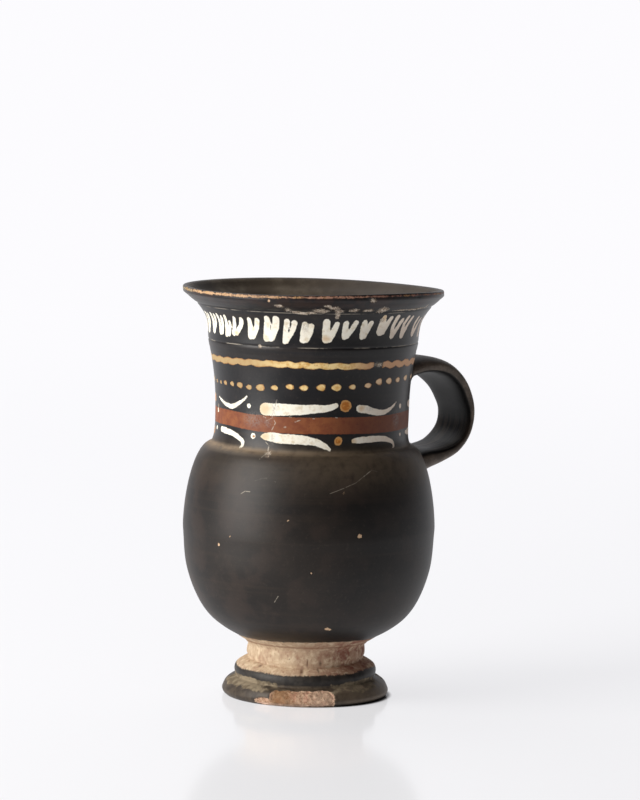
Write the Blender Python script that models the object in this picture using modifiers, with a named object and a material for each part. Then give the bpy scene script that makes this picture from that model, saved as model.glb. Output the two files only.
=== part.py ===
"""Olpe: a drinking mug of black-glazed fired clay, with a wide flaring mouth, a globular body, a low stem on
a stepped ring foot, and one strap handle.

Metres, +Z up, standing on z = 0, with the handle on +X. The origin is the middle of the footprint of vessel
and handle together, so the vessel's own axis lies a little towards -X. Vessel, foot and handle were joined as
wet clay and fired as one, so they are one solid. The painted ornament is only colour and is not modelled.
"""

import math

import bmesh
import bpy
import numpy as np

# Heights of the vessel's zones, from the table up
FOOT_RING_HEIGHT = 0.0067
TORUS_HEIGHT = 0.0060
STEM_HEIGHT = 0.0051
LOWER_BODY_HEIGHT = 0.0397
SHOULDER_HEIGHT = 0.0288
NECK_HEIGHT = 0.0344
MOUTH_HEIGHT = 0.0193

# Radii, and how far each zone stands out from the one that it grows from
NECK_RADIUS = 0.0325
ANGLE_SPREAD = 0.0011
THROAT_SPREAD = 0.0027
MOUTH_FLARE = 0.0086
BELLY_RADIUS = 0.0428
STEM_RADIUS = 0.0197
BODY_OVERHANG = 0.0006
TORUS_WIDTH = 0.0041
FOOT_SPREAD = 0.0044
FOOT_UNDERCUT = 0.0015

# Lip
LIP_FACE_HEIGHT = 0.0024
LIP_ROUNDING = 0.0006

# Clay thickness, and the hollow under the foot
WALL = 0.0034
LIP_WALL = 0.0022
FLOOR_THICKNESS = 0.0075
REST_WIDTH = 0.0045
RECESS_DEPTH = 0.0120
STEM_WALL = 0.0062

# Strap handle
HANDLE_PROJECTION = 0.0302
HANDLE_CROWN_RISE = 0.0252
HANDLE_ROOT_DROP = 0.0091
HANDLE_WIDTH = 0.0190
HANDLE_ROOT_WIDTH = 0.0215
HANDLE_THICKNESS = 0.0044
HANDLE_ROOT_THICKNESS = 0.0088

# Chip in the foot ring, at the side away from the handle
CHIP_ANGLE = math.radians(-131.0)
CHIP_WIDTH = 0.0220
CHIP_HEIGHT = 0.0056
CHIP_DEPTH = 0.0010

# Fineness of the solid
TURN_STEPS = 56
STRAP_SIDES = 16
STRAP_STEPS = 2
CHIP_STEPS = 5
MERGE = 0.00001

# Heights and radii that follow from the sizes above
TORUS_BASE = FOOT_RING_HEIGHT
STEM_BASE = TORUS_BASE + TORUS_HEIGHT
STEM_TOP = STEM_BASE + STEM_HEIGHT
BELLY_LEVEL = STEM_TOP + LOWER_BODY_HEIGHT
ANGLE_LEVEL = BELLY_LEVEL + SHOULDER_HEIGHT
THROAT_LEVEL = ANGLE_LEVEL + NECK_HEIGHT
HEIGHT = THROAT_LEVEL + MOUTH_HEIGHT
ANGLE_RADIUS = NECK_RADIUS + ANGLE_SPREAD
THROAT_RADIUS = NECK_RADIUS + THROAT_SPREAD
LIP_RADIUS = THROAT_RADIUS + MOUTH_FLARE
TORUS_RADIUS = STEM_RADIUS + TORUS_WIDTH
FOOT_RADIUS = TORUS_RADIUS + FOOT_SPREAD
REST_RADIUS = FOOT_RADIUS - FOOT_UNDERCUT
FLOOR_LEVEL = RECESS_DEPTH + FLOOR_THICKNESS

# Free curves of the profile, as shares of the way across and down each zone
FLARE_CURVE = ((0.27, 0.140), (0.50, 0.245), (0.72, 0.390), (0.88, 0.540), (0.96, 0.740))
NECK_CURVE = ((0.42, 0.190), (0.74, 0.400), (0.93, 0.620))
NECK_WAIST = 0.81
ANGLE_CURVE = ((0.30, 0.62),)
SHOULDER_FULLNESS = 1.7
LOWER_BODY_CURVE = ((0.0575, 0.338), (0.226, 0.611), (0.398, 0.758), (0.615, 0.861), (0.823, 0.932))
STEM_NARROWEST = (0.25, 0.70)
TORUS_FLANK = 0.32
FOOT_WIDEST = 0.30
FOOT_RING_CURVE = ((0.45, 0.17), (0.80, 0.46))
FOOT_EDGE_CURVE = ((0.35, 0.60),)
RECESS_CURVE = ((0.40, 0.62), (0.0, 0.97), (-0.31, 1.0))
FLOOR_FLAT = 0.45

# How the strap swells: the share of its length at mid-way that keeps one size, and how late it thickens
STRAP_EVEN = 0.15
STRAP_THICKENING = 1.6
STRAP_SQUARENESS = 0.6

# The chip's floor: how far its ends run out past the surface, and how uneven it is, as shares of its depth
CHIP_RUN_OUT = 0.25
CHIP_UNEVENNESS = 0.12
CHIP_WAVES = 7.0

# The strap's middle line, as shares of the way out from the wall and of the way up from its lower root
STRAP_UPPER = ((0.0, 0.905), (0.19, 0.968), (0.424, 1.0), (0.682, 0.950), (0.897, 0.784), (1.0, 0.548))
STRAP_LOWER = ((0.949, 0.327), (0.753, 0.169), (0.472, 0.090), (0.209, 0.047), (0.0, 0.0))

OLPE_COLOUR = (0.028, 0.023, 0.019)
OLPE_ROUGHNESS = 0.42


def clear_scene():
    """Removes what the scene holds."""
    for item in list(bpy.data.objects):
        bpy.data.objects.remove(item, do_unlink=True)


def smooth_curve(points, steps):
    """Points along a centripetal Catmull-Rom curve through the given points, with their ends."""
    knots = np.array(points, dtype=float)
    knots = np.vstack([2 * knots[0] - knots[1], knots, 2 * knots[-1] - knots[-2]])
    curve = []
    for first in range(len(knots) - 3):
        p0, p1, p2, p3 = knots[first:first + 4]
        t1 = math.sqrt(np.linalg.norm(p1 - p0))
        t2 = t1 + math.sqrt(np.linalg.norm(p2 - p1))
        t3 = t2 + math.sqrt(np.linalg.norm(p3 - p2))
        for step in range(steps):
            t = t1 + (t2 - t1) * step / steps
            a1 = p0 + (p1 - p0) * t / t1
            a2 = p1 + (p2 - p1) * (t - t1) / (t2 - t1)
            a3 = p2 + (p3 - p2) * (t - t2) / (t3 - t2)
            b1 = a1 + (a2 - a1) * t / t2
            b2 = a2 + (a3 - a2) * (t - t1) / (t3 - t1)
            curve.append(b1 + (b2 - b1) * (t - t1) / (t2 - t1))
    curve.append(knots[-2])
    return [tuple(point) for point in curve]


def arc(centre, radius, start, end, steps):
    """Points of an arc about centre, from angle start to angle end in degrees."""
    points = []
    for step in range(steps + 1):
        angle = math.radians(start + (end - start) * step / steps)
        points.append((centre[0] + radius * math.cos(angle), centre[1] + radius * math.sin(angle)))
    return points


def zone(top, bottom, shares, steps):
    """A smooth run of the profile from top to bottom through shares of the way across and down."""
    across = bottom[0] - top[0]
    down = bottom[1] - top[1]
    inner = [(top[0] + across * a, top[1] + down * d) for a, d in shares]
    return smooth_curve([top] + inner + [bottom], steps)


def lip_outline():
    """The lip's blunt edge, from its top inwards of the rounding down to where the flare starts."""
    corner = LIP_RADIUS - LIP_ROUNDING
    upper = arc((corner, HEIGHT - LIP_ROUNDING), LIP_ROUNDING, 90.0, 0.0, 2)
    lower = arc((corner, HEIGHT - LIP_FACE_HEIGHT + LIP_ROUNDING), LIP_ROUNDING, 0.0, -60.0, 2)
    return upper + lower


def shoulder_outline(steps):
    """The shoulder's near-elliptic curve from the neck angle down to the belly."""
    points = []
    for step in range(steps + 1):
        level = math.cos(0.5 * math.pi * step / steps)
        stand_out = math.sqrt(max(0.0, 1.0 - level ** SHOULDER_FULLNESS))
        radius = ANGLE_RADIUS + (BELLY_RADIUS - ANGLE_RADIUS) * stand_out
        points.append((radius, BELLY_LEVEL + SHOULDER_HEIGHT * level))
    return points


def upper_outline():
    """Mouth and neck from below the lip down to the neck angle."""
    start = lip_outline()[-1]
    flare = zone(start, (THROAT_RADIUS, THROAT_LEVEL), FLARE_CURVE, 1)
    waist = (NECK_RADIUS, THROAT_LEVEL - NECK_HEIGHT * NECK_WAIST)
    neck = zone((THROAT_RADIUS, THROAT_LEVEL), waist, NECK_CURVE, 1)
    angle = zone(waist, (ANGLE_RADIUS, ANGLE_LEVEL), ANGLE_CURVE, 1)
    return flare + neck[1:] + angle[1:]


def body_outline():
    """Shoulder and lower body from the neck angle down to the stem."""
    lower = zone((BELLY_RADIUS, BELLY_LEVEL), (STEM_RADIUS + BODY_OVERHANG, STEM_TOP), LOWER_BODY_CURVE, 2)
    return shoulder_outline(7) + lower[2:]


def foot_ring_outline():
    """The lower foot ring's rounded side, from under the torus down to the table."""
    widest = (FOOT_RADIUS, FOOT_RING_HEIGHT * FOOT_WIDEST)
    top = zone((TORUS_RADIUS, FOOT_RING_HEIGHT), widest, FOOT_RING_CURVE, 1)
    edge = zone(widest, (REST_RADIUS, 0.0), FOOT_EDGE_CURVE, 1)
    return top + edge[1:]


def foot_outline():
    """Stem, torus and foot ring, from below the body down to the table."""
    stem_foot = STEM_RADIUS + BODY_OVERHANG
    stem = [(STEM_RADIUS, STEM_TOP - STEM_HEIGHT * share) for share in STEM_NARROWEST]
    flank = TORUS_HEIGHT * TORUS_FLANK
    torus = []
    for angle in (90.0, 60.0, 35.0, 0.0):
        radius = stem_foot + (TORUS_RADIUS - stem_foot) * math.cos(math.radians(angle))
        rise = flank + (TORUS_HEIGHT - flank) * math.sin(math.radians(angle))
        torus.append((radius, TORUS_BASE + rise))
    return stem + torus + foot_ring_outline()


def underside_outline():
    """The flat resting ring and the hollow under the foot, in to the axis."""
    rest_inner = REST_RADIUS - REST_WIDTH
    recess_radius = STEM_RADIUS - STEM_WALL
    spread = rest_inner - recess_radius
    hollow = [(recess_radius + spread * out, RECESS_DEPTH * up) for out, up in RECESS_CURVE]
    return [(rest_inner, 0.0)] + hollow + [(0.0, RECESS_DEPTH)]


def inset(points, thickness_top, thickness_bottom):
    """The points moved square into the clay, by a thickness that changes evenly from first to last."""
    outline = np.array(points)
    along = np.gradient(outline, axis=0)
    along /= np.linalg.norm(along, axis=1)[:, None]
    into = np.stack([along[:, 1], -along[:, 0]], axis=1)
    thickness = np.linspace(thickness_top, thickness_bottom, len(outline))
    return [tuple(point) for point in outline + into * thickness[:, None]]


def inside_outline():
    """The inside, from the lip down to the middle of the floor, with half as many points as the outside."""
    upper = upper_outline()
    body = body_outline()
    lip = (LIP_RADIUS - LIP_WALL, HEIGHT - LIP_ROUNDING * 0.5)
    mouth_wall = inset(upper, LIP_WALL, WALL)[1::2]
    body_wall = inset(body, WALL, WALL)[1:-1:2]
    floor = (body_wall[-1][0] * FLOOR_FLAT, FLOOR_LEVEL)
    return [lip] + mouth_wall + body_wall + [floor, (0.0, FLOOR_LEVEL)]


def outside_outline():
    """The outside, from the lip's top down to the table."""
    return lip_outline()[:-1] + upper_outline() + body_outline()[1:] + foot_outline()


def middle_of_wall(level):
    """The radius of the middle of the clay wall at a height, between the neck and the belly."""
    outline = np.array(upper_outline() + body_outline()[1:])[::-1]
    return float(np.interp(level, outline[:, 1], outline[:, 0])) - WALL / 2


def add_object(name, mesh, collection):
    """A new object with the mesh, in the collection."""
    item = bpy.data.objects.new(name, mesh)
    collection.objects.link(item)
    return item


def turned(name, profile, collection):
    """A vessel turned from a profile that runs from the inside of the floor over the lip to the underside."""
    mesh = bpy.data.meshes.new(name)
    vertices = [(radius, 0.0, level) for radius, level in profile]
    mesh.from_pydata(vertices, [(i, i + 1) for i in range(len(vertices) - 1)], [])
    item = add_object(name, mesh, collection)
    screw = item.modifiers.new("turn", "SCREW")
    screw.axis = "Z"
    screw.steps = TURN_STEPS
    screw.render_steps = TURN_STEPS
    screw.use_merge_vertices = True
    screw.merge_threshold = MERGE
    return item


def loft(name, rings, collection):
    """A closed body through rings of equally many points, with flat ends and outward faces."""
    sides = len(rings[0])
    shape = bmesh.new()
    rows = [[shape.verts.new(point) for point in ring] for ring in rings]
    for row, following in zip(rows, rows[1:]):
        for side in range(sides):
            after = (side + 1) % sides
            shape.faces.new((row[side], row[after], following[after], following[side]))
    shape.faces.new(rows[0])
    shape.faces.new(rows[-1])
    bmesh.ops.recalc_face_normals(shape, faces=shape.faces)
    mesh = bpy.data.meshes.new(name)
    shape.to_mesh(mesh)
    shape.free()
    mesh.shade_smooth()
    return add_object(name, mesh, collection)


def strap_path():
    """The strap's middle line as (radius, height), from its upper root round to its lower root."""
    low = ANGLE_LEVEL - HANDLE_ROOT_DROP
    rise = HANDLE_CROWN_RISE + HANDLE_ROOT_DROP
    root = middle_of_wall(low + rise * STRAP_UPPER[0][1])
    reach = root + HANDLE_PROJECTION
    low_root = middle_of_wall(low)
    points = [(root + (reach - root) * out, low + rise * up) for out, up in STRAP_UPPER]
    points += [(low_root + (reach - low_root) * out, low + rise * up) for out, up in STRAP_LOWER]
    return smooth_curve(points, STRAP_STEPS)


def strap_rings():
    """Rings of the strap: a flat oval that swells towards both roots, which are seated inside the wall."""
    path = np.array(strap_path())
    along = np.gradient(path, axis=0)
    along /= np.linalg.norm(along, axis=1)[:, None]
    last = len(path) - 1
    rings = []
    for index, (radius, level) in enumerate(path):
        nearness = max(0.0, (abs(2.0 * index / last - 1.0) - STRAP_EVEN) / (1.0 - STRAP_EVEN))
        swell = nearness ** STRAP_THICKENING
        width = HANDLE_WIDTH + (HANDLE_ROOT_WIDTH - HANDLE_WIDTH) * nearness
        thickness = HANDLE_THICKNESS + (HANDLE_ROOT_THICKNESS - HANDLE_THICKNESS) * swell
        ring = []
        for side in range(STRAP_SIDES):
            angle = 2.0 * math.pi * side / STRAP_SIDES
            outward = 0.5 * thickness * math.sin(angle)
            fullness = abs(math.cos(angle)) ** STRAP_SQUARENESS
            across = 0.5 * width * math.copysign(fullness, math.cos(angle))
            x = radius - along[index][1] * outward
            z = level + along[index][0] * outward
            if index in (0, last):
                x = math.sqrt(middle_of_wall(z) ** 2 - across ** 2)
            ring.append((x, across, z))
        rings.append(ring)
    return rings


def chip_rings():
    """Rings of the chip's cutter, which follows the foot ring round and runs out at both ends."""
    half_turn = CHIP_WIDTH / 2 / FOOT_RADIUS
    clear = FOOT_RADIUS + FOOT_UNDERCUT
    outline = [point for point in foot_ring_outline() if point[1] < CHIP_HEIGHT]
    rings = []
    for step in range(-CHIP_STEPS, CHIP_STEPS + 1):
        share = step / CHIP_STEPS
        angle = CHIP_ANGLE + half_turn * share
        hollow = (1.0 + CHIP_RUN_OUT) * math.sqrt(1.0 - share ** 2) - CHIP_RUN_OUT
        depth = CHIP_DEPTH * (hollow + CHIP_UNEVENNESS * math.sin(CHIP_WAVES * share))
        bite = [(radius - depth, level) for radius, level in outline]
        section = [(clear, CHIP_HEIGHT + CHIP_DEPTH)] + bite
        section += [(bite[-1][0], -CHIP_DEPTH), (clear, -CHIP_DEPTH)]
        cos, sin = math.cos(angle), math.sin(angle)
        rings.append([(radius * cos, radius * sin, level) for radius, level in section])
    return rings


def combine(item, other, operation):
    """Joins other to item, or cuts it out."""
    boolean = item.modifiers.new(operation.lower() + " " + other.name, "BOOLEAN")
    boolean.operation = operation
    boolean.object = other
    boolean.solver = "EXACT"
    other.hide_render = True
    other.display_type = "WIRE"


def clay_material():
    """Black glaze fired on clay, a little glossy."""
    material = bpy.data.materials.new("black_glazed_clay")
    material.use_nodes = True
    shader = material.node_tree.nodes["Principled BSDF"]
    shader.inputs["Base Color"].default_value = OLPE_COLOUR + (1.0,)
    shader.inputs["Roughness"].default_value = OLPE_ROUGHNESS
    shader.inputs["Metallic"].default_value = 0.0
    return material


def main():
    clear_scene()
    parts = bpy.data.collections.new("olpe")
    cutters = bpy.data.collections.new("olpe cutters")
    for collection in (parts, cutters):
        bpy.context.scene.collection.children.link(collection)

    profile = inside_outline()[::-1] + outside_outline() + underside_outline()
    olpe = turned("olpe", profile, parts)
    rings = strap_rings()
    strap = loft("strap", rings, cutters)
    chip = loft("chip", chip_rings(), cutters)
    combine(olpe, strap, "UNION")
    combine(olpe, chip, "DIFFERENCE")

    # The origin is the middle of the footprint, so all three stand off by the vessel's axis
    reach = max(point[0] for ring in rings for point in ring)
    axis = (LIP_RADIUS - reach) / 2
    for item in (olpe, strap, chip):
        item.location = (axis, 0.0, 0.0)
    olpe.data.materials.append(clay_material())


main()
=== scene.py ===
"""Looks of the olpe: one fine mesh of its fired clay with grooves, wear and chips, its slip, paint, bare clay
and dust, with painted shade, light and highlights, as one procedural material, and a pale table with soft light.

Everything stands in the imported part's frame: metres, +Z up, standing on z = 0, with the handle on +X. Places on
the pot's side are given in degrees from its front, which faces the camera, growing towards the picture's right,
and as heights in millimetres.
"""

import math

import bmesh
import bpy
import numpy as np
from mathutils import Matrix, Vector, noise

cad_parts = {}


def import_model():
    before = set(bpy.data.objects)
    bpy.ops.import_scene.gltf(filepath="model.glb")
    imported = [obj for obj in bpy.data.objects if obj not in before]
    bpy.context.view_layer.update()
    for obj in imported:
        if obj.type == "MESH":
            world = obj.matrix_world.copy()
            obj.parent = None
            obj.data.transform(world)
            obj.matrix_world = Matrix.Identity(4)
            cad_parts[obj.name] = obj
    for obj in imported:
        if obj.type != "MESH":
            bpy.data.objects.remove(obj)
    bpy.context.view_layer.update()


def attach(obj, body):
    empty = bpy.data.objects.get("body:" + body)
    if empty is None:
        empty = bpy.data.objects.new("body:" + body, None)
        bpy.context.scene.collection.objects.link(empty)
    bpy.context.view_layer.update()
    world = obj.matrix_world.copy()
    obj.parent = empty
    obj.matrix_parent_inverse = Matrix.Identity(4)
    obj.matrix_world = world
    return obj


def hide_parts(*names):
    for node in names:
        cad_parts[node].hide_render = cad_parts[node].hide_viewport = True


MM = 0.001

# Sizes of the vessel, as in the part's source
FOOT_RING_HEIGHT = 0.0067
TORUS_HEIGHT = 0.0060
STEM_HEIGHT = 0.0051
LOWER_BODY_HEIGHT = 0.0397
SHOULDER_HEIGHT = 0.0288
NECK_HEIGHT = 0.0344
MOUTH_HEIGHT = 0.0193
NECK_RADIUS = 0.0325
ANGLE_SPREAD = 0.0011
THROAT_SPREAD = 0.0027
MOUTH_FLARE = 0.0086
BELLY_RADIUS = 0.0428
STEM_RADIUS = 0.0197
BODY_OVERHANG = 0.0006
TORUS_WIDTH = 0.0041
FOOT_SPREAD = 0.0044
FOOT_UNDERCUT = 0.0015
LIP_FACE_HEIGHT = 0.0024
LIP_ROUNDING = 0.0006
WALL = 0.0034
LIP_WALL = 0.0022
FLOOR_THICKNESS = 0.0075
REST_WIDTH = 0.0045
RECESS_DEPTH = 0.0120
STEM_WALL = 0.0062
HANDLE_PROJECTION = 0.0305
HANDLE_CROWN_RISE = 0.0255
HANDLE_ROOT_DROP = 0.0091
HANDLE_WIDTH = 0.0190
HANDLE_ROOT_WIDTH = 0.0215
HANDLE_THICKNESS = 0.0044
HANDLE_ROOT_THICKNESS = 0.0088
AXIS = -0.00999

# Heights and radii that follow from the sizes above
TORUS_BASE = FOOT_RING_HEIGHT
STEM_BASE = TORUS_BASE + TORUS_HEIGHT
STEM_TOP = STEM_BASE + STEM_HEIGHT
BELLY_LEVEL = STEM_TOP + LOWER_BODY_HEIGHT
ANGLE_LEVEL = BELLY_LEVEL + SHOULDER_HEIGHT
THROAT_LEVEL = ANGLE_LEVEL + NECK_HEIGHT
HEIGHT = THROAT_LEVEL + MOUTH_HEIGHT
ANGLE_RADIUS = NECK_RADIUS + ANGLE_SPREAD
THROAT_RADIUS = NECK_RADIUS + THROAT_SPREAD
LIP_RADIUS = THROAT_RADIUS + MOUTH_FLARE
TORUS_RADIUS = STEM_RADIUS + TORUS_WIDTH
FOOT_RADIUS = TORUS_RADIUS + FOOT_SPREAD
REST_RADIUS = FOOT_RADIUS - FOOT_UNDERCUT
FLOOR_LEVEL = RECESS_DEPTH + FLOOR_THICKNESS

# Free curves of the profile and of the strap, as in the part's source
FLARE_CURVE = ((0.27, 0.140), (0.50, 0.245), (0.72, 0.390), (0.88, 0.540), (0.96, 0.740))
NECK_CURVE = ((0.42, 0.190), (0.74, 0.400), (0.93, 0.620))
NECK_WAIST = 0.81
ANGLE_CURVE = ((0.30, 0.62),)
SHOULDER_FULLNESS = 1.7
LOWER_BODY_CURVE = ((0.0575, 0.338), (0.226, 0.611), (0.398, 0.758), (0.615, 0.861), (0.823, 0.932))
STEM_NARROWEST = (0.25, 0.70)
TORUS_FLANK = 0.32
FOOT_WIDEST = 0.30
FOOT_RING_CURVE = ((0.45, 0.17), (0.80, 0.46))
FOOT_EDGE_CURVE = ((0.35, 0.60),)
RECESS_CURVE = ((0.40, 0.62), (0.0, 0.97), (-0.31, 1.0))
FLOOR_FLAT = 0.45
STRAP_EVEN = 0.15
STRAP_THICKENING = 1.6
STRAP_SQUARENESS = 0.6
STRAP_INNER_SQUARENESS = 0.55
STRAP_FILLING = ((0.0, -2.2), (0.12, -0.9), (0.30, 0.3), (0.42, 0.5), (0.52, -0.3), (0.62, -0.9), (0.75, -0.6),
                 (0.90, 0.0), (1.0, 0.0))
STRAP_FAR_FILLING = ((0.0, 1.2), (0.12, 1.8), (0.30, 1.6), (0.42, 0.8), (0.55, 0.3), (0.70, 0.6), (0.85, 0.6),
                     (1.0, 0.0))
STRAP_FAR_SPREAD = ((0.0, 0.9), (0.12, 2.2), (0.30, 2.8), (0.45, 1.4), (0.55, 0.3), (0.70, 0.8), (0.85, 1.0),
                    (1.0, 0.4))
STRAP_UPPER_SPREAD = 0.0022
STRAP_UPPER = ((0.0, 0.905), (0.19, 0.968), (0.424, 1.0), (0.682, 0.950), (0.897, 0.784), (1.0, 0.548))
STRAP_LOWER = ((0.949, 0.327), (0.753, 0.169), (0.472, 0.090), (0.209, 0.047), (0.0, 0.0))

# Fineness of the mesh: columns round the vessel, and row spacings in metres
FINE_COLUMNS = 360
COARSE_COLUMNS = 180
CURVE_STEPS = 14
NECK_SPACING = 0.00056
LIP_SPACING = 0.00028
GROOVE_SPACING = 0.00022
BODY_SPACING = 0.0012
FOOT_SPACING = 0.00046
INSIDE_SPACING = 0.0030
UNDER_SPACING = 0.0020
STRAP_SIDES = 48
STRAP_STEPS = 8

# Hand work, read off the photograph: how much wider the turned form is than the profile, and how far its middle
# stands towards the picture's right, both in millimetres at heights in millimetres
FORM_TRIM = ((0.0, 0.40), (2.0, 0.32), (4.2, 0.05), (6.1, -0.10), (7.2, 0.20), (8.2, 0.42), (9.4, 0.45), (10.6, 0.25),
             (12.3, -0.75), (13.4, -0.20), (14.4, 0.50), (15.4, 0.60), (16.5, 0.40), (17.5, -0.15), (18.5, -0.50),
             (19.6, -0.80), (20.6, -0.80), (23.7, -0.44), (27.9, -0.18), (34.0, 0.0), (60.0, 0.15), (84.0, 0.20),
             (92.0, 0.32), (125.0, 0.33), (134.0, 0.36), (140.0, 0.40))
FORM_STAND = ((0.0, -0.27), (13.0, -0.35), (20.0, -0.05), (30.0, 0.06), (45.0, -0.08), (84.0, -0.10), (95.0, 0.22),
              (124.0, 0.24), (133.0, 0.42), (140.0, -0.08))
OUT_OF_ROUND = 0.00009

# The middle of the handle's loop, along X and up
LOOP_MIDDLE = (0.034, 0.096)

# The lip's uneven rim: heights between which it sets in, a mean drop, and (cosine, sine) parts for one, two and
# three waves round the rim, in millimetres
WARP_FROM = 134.2
WARP_TO = 138.8
WARP_DROP = -0.55
WARP_WAVES = ((0.31, -0.07), (0.08, 0.35), (-0.12, 0.08))

# The torus sags at the front: by how many millimetres, and the heights between which the sag sets in and ends
SAG = 0.85
SAG_IN = (3.5, 7.0)
SAG_OUT = (13.0, 15.5)

# Incised lines round the neck: height, depth and half width in millimetres
GROOVES = ((133.9, 0.34, 0.36), (121.6, 0.16, 0.26), (118.6, 0.05, 0.20), (136.6, 0.07, 0.30))
STEM_RIDGE = (20.2, 0.30, 0.45)
STEM_GROOVE = (19.1, 0.22, 0.36)
STEM_ROUGHNESS = 0.04

# Chips at the lip: degrees from the front, height, half width, half height and depth in millimetres
LIP_CHIPS = ((25.5, 138.1, 0.9, 0.7, 0.30), (-19.5, 137.9, 0.5, 0.4, 0.15), (52.0, 138.6, 0.7, 0.5, 0.18),
             (-52.0, 138.9, 0.8, 0.5, 0.15), (150.0, 138.4, 1.1, 0.8, 0.30), (-128.0, 138.7, 0.9, 0.6, 0.22))
STEM_PITS = ((-45.4, 12.1, 0.55, 0.30, 0.30), (-2.8, 11.9, 0.50, 0.70, 0.40), (15.0, 14.1, 0.40, 0.45, 0.30),
             (12.0, 12.2, 0.30, 0.60, 0.25), (2.0, 14.2, 0.20, 0.90, 0.16), (-95.0, 13.8, 0.5, 0.4, 0.25),
             (110.0, 15.2, 0.5, 0.5, 0.25), (-150.0, 12.6, 0.6, 0.4, 0.30))

# The chip in the foot ring
CHIP_FRONT = -2.0
CHIP_HALF = 11.3
CHIP_TOP = 5.75
CHIP_CORNER = 2.4
CHIP_DEPTH = 0.90
CHIP_TAIL = (-29.5, 1.3, 3.6, 1.2)

# Camera, as fitted to the ellipses of the rim and the foot
VIEW_TURN = math.radians(-35.0)
VIEW_RIGHT = Vector((math.cos(VIEW_TURN), math.sin(VIEW_TURN), 0.0))
VIEW_DEPTH = Vector((-math.sin(VIEW_TURN), math.cos(VIEW_TURN), 0.0))
FRONT_AZIMUTH = -125.0
CAMERA_SIDE = 0.0029
CAMERA_DISTANCE = 1.318
CAMERA_HEIGHT = 0.2345
CAMERA_PITCH = 0.101
CAMERA_ROLL = 0.0195
CAMERA_LENS = 175.5
CAMERA_SENSOR = 36.0

# Table and backdrop
BACKDROP = (0.975, 0.968, 0.992, 1.0)
TABLE_GLOW = 0.60
FRONT_GLOW = 0.40
# The painted contact shadow round the foot: how far its middle stands to the right, and the distances over which it
# fades in
CONTACT_SHIFT = 0.0010
CONTACT_SHADE = (0.0268, 0.0288)


def srgb(red, green, blue):
    """A picture colour from 0 to 255 as the linear colour that shaders take."""
    values = []
    for value in (red, green, blue):
        share = value / 255.0
        values.append(share / 12.92 if share <= 0.04045 else ((share + 0.055) / 1.055) ** 2.4)
    return tuple(values) + (1.0,)


def ease(value, low, high):
    """A smooth step from 0 at low to 1 at high."""
    share = np.clip((value - low) / (high - low), 0.0, 1.0)
    return share * share * (3.0 - 2.0 * share)


# --- Profile -------------------------------------------------------------------------------------


def smooth_curve(points, steps):
    """Points along a centripetal Catmull-Rom curve through the given points, with their ends."""
    knots = np.array(points, dtype=float)
    knots = np.vstack([2 * knots[0] - knots[1], knots, 2 * knots[-1] - knots[-2]])
    curve = []
    for first in range(len(knots) - 3):
        p0, p1, p2, p3 = knots[first:first + 4]
        t1 = math.sqrt(np.linalg.norm(p1 - p0))
        t2 = t1 + math.sqrt(np.linalg.norm(p2 - p1))
        t3 = t2 + math.sqrt(np.linalg.norm(p3 - p2))
        for step in range(steps):
            t = t1 + (t2 - t1) * step / steps
            a1 = p0 + (p1 - p0) * t / t1
            a2 = p1 + (p2 - p1) * (t - t1) / (t2 - t1)
            a3 = p2 + (p3 - p2) * (t - t2) / (t3 - t2)
            b1 = a1 + (a2 - a1) * t / t2
            b2 = a2 + (a3 - a2) * (t - t1) / (t3 - t1)
            curve.append(b1 + (b2 - b1) * (t - t1) / (t2 - t1))
    curve.append(knots[-2])
    return [tuple(point) for point in curve]


def arc(centre, radius, start, end, steps):
    """Points of an arc about centre, from angle start to angle end in degrees."""
    points = []
    for step in range(steps + 1):
        angle = math.radians(start + (end - start) * step / steps)
        points.append((centre[0] + radius * math.cos(angle), centre[1] + radius * math.sin(angle)))
    return points


def zone(top, bottom, shares):
    """A smooth run of the profile from top to bottom through shares of the way across and down."""
    across = bottom[0] - top[0]
    down = bottom[1] - top[1]
    inner = [(top[0] + across * a, top[1] + down * d) for a, d in shares]
    return smooth_curve([top] + inner + [bottom], CURVE_STEPS)


def lip_outline():
    """The lip's blunt edge, from its top inwards of the rounding down to where the flare starts."""
    corner = LIP_RADIUS - LIP_ROUNDING
    upper = arc((corner, HEIGHT - LIP_ROUNDING), LIP_ROUNDING, 90.0, 0.0, CURVE_STEPS)
    lower = arc((corner, HEIGHT - LIP_FACE_HEIGHT + LIP_ROUNDING), LIP_ROUNDING, 0.0, -60.0, CURVE_STEPS)
    return upper + lower


def upper_outline():
    """Mouth and neck from below the lip down to the neck angle."""
    start = lip_outline()[-1]
    flare = zone(start, (THROAT_RADIUS, THROAT_LEVEL), FLARE_CURVE)
    waist = (NECK_RADIUS, THROAT_LEVEL - NECK_HEIGHT * NECK_WAIST)
    neck = zone((THROAT_RADIUS, THROAT_LEVEL), waist, NECK_CURVE)
    angle = zone(waist, (ANGLE_RADIUS, ANGLE_LEVEL), ANGLE_CURVE)
    return flare + neck[1:] + angle[1:]


def shoulder_outline():
    """The shoulder's near-elliptic curve from the neck angle down to the belly."""
    points = []
    steps = 6 * CURVE_STEPS
    for step in range(steps + 1):
        level = math.cos(0.5 * math.pi * step / steps)
        stand_out = math.sqrt(max(0.0, 1.0 - level ** SHOULDER_FULLNESS))
        radius = ANGLE_RADIUS + (BELLY_RADIUS - ANGLE_RADIUS) * stand_out
        points.append((radius, BELLY_LEVEL + SHOULDER_HEIGHT * level))
    return points


def body_outline():
    """Shoulder and lower body from the neck angle down to the stem."""
    lower = zone((BELLY_RADIUS, BELLY_LEVEL), (STEM_RADIUS + BODY_OVERHANG, STEM_TOP), LOWER_BODY_CURVE)
    return shoulder_outline() + lower[1:]


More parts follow.
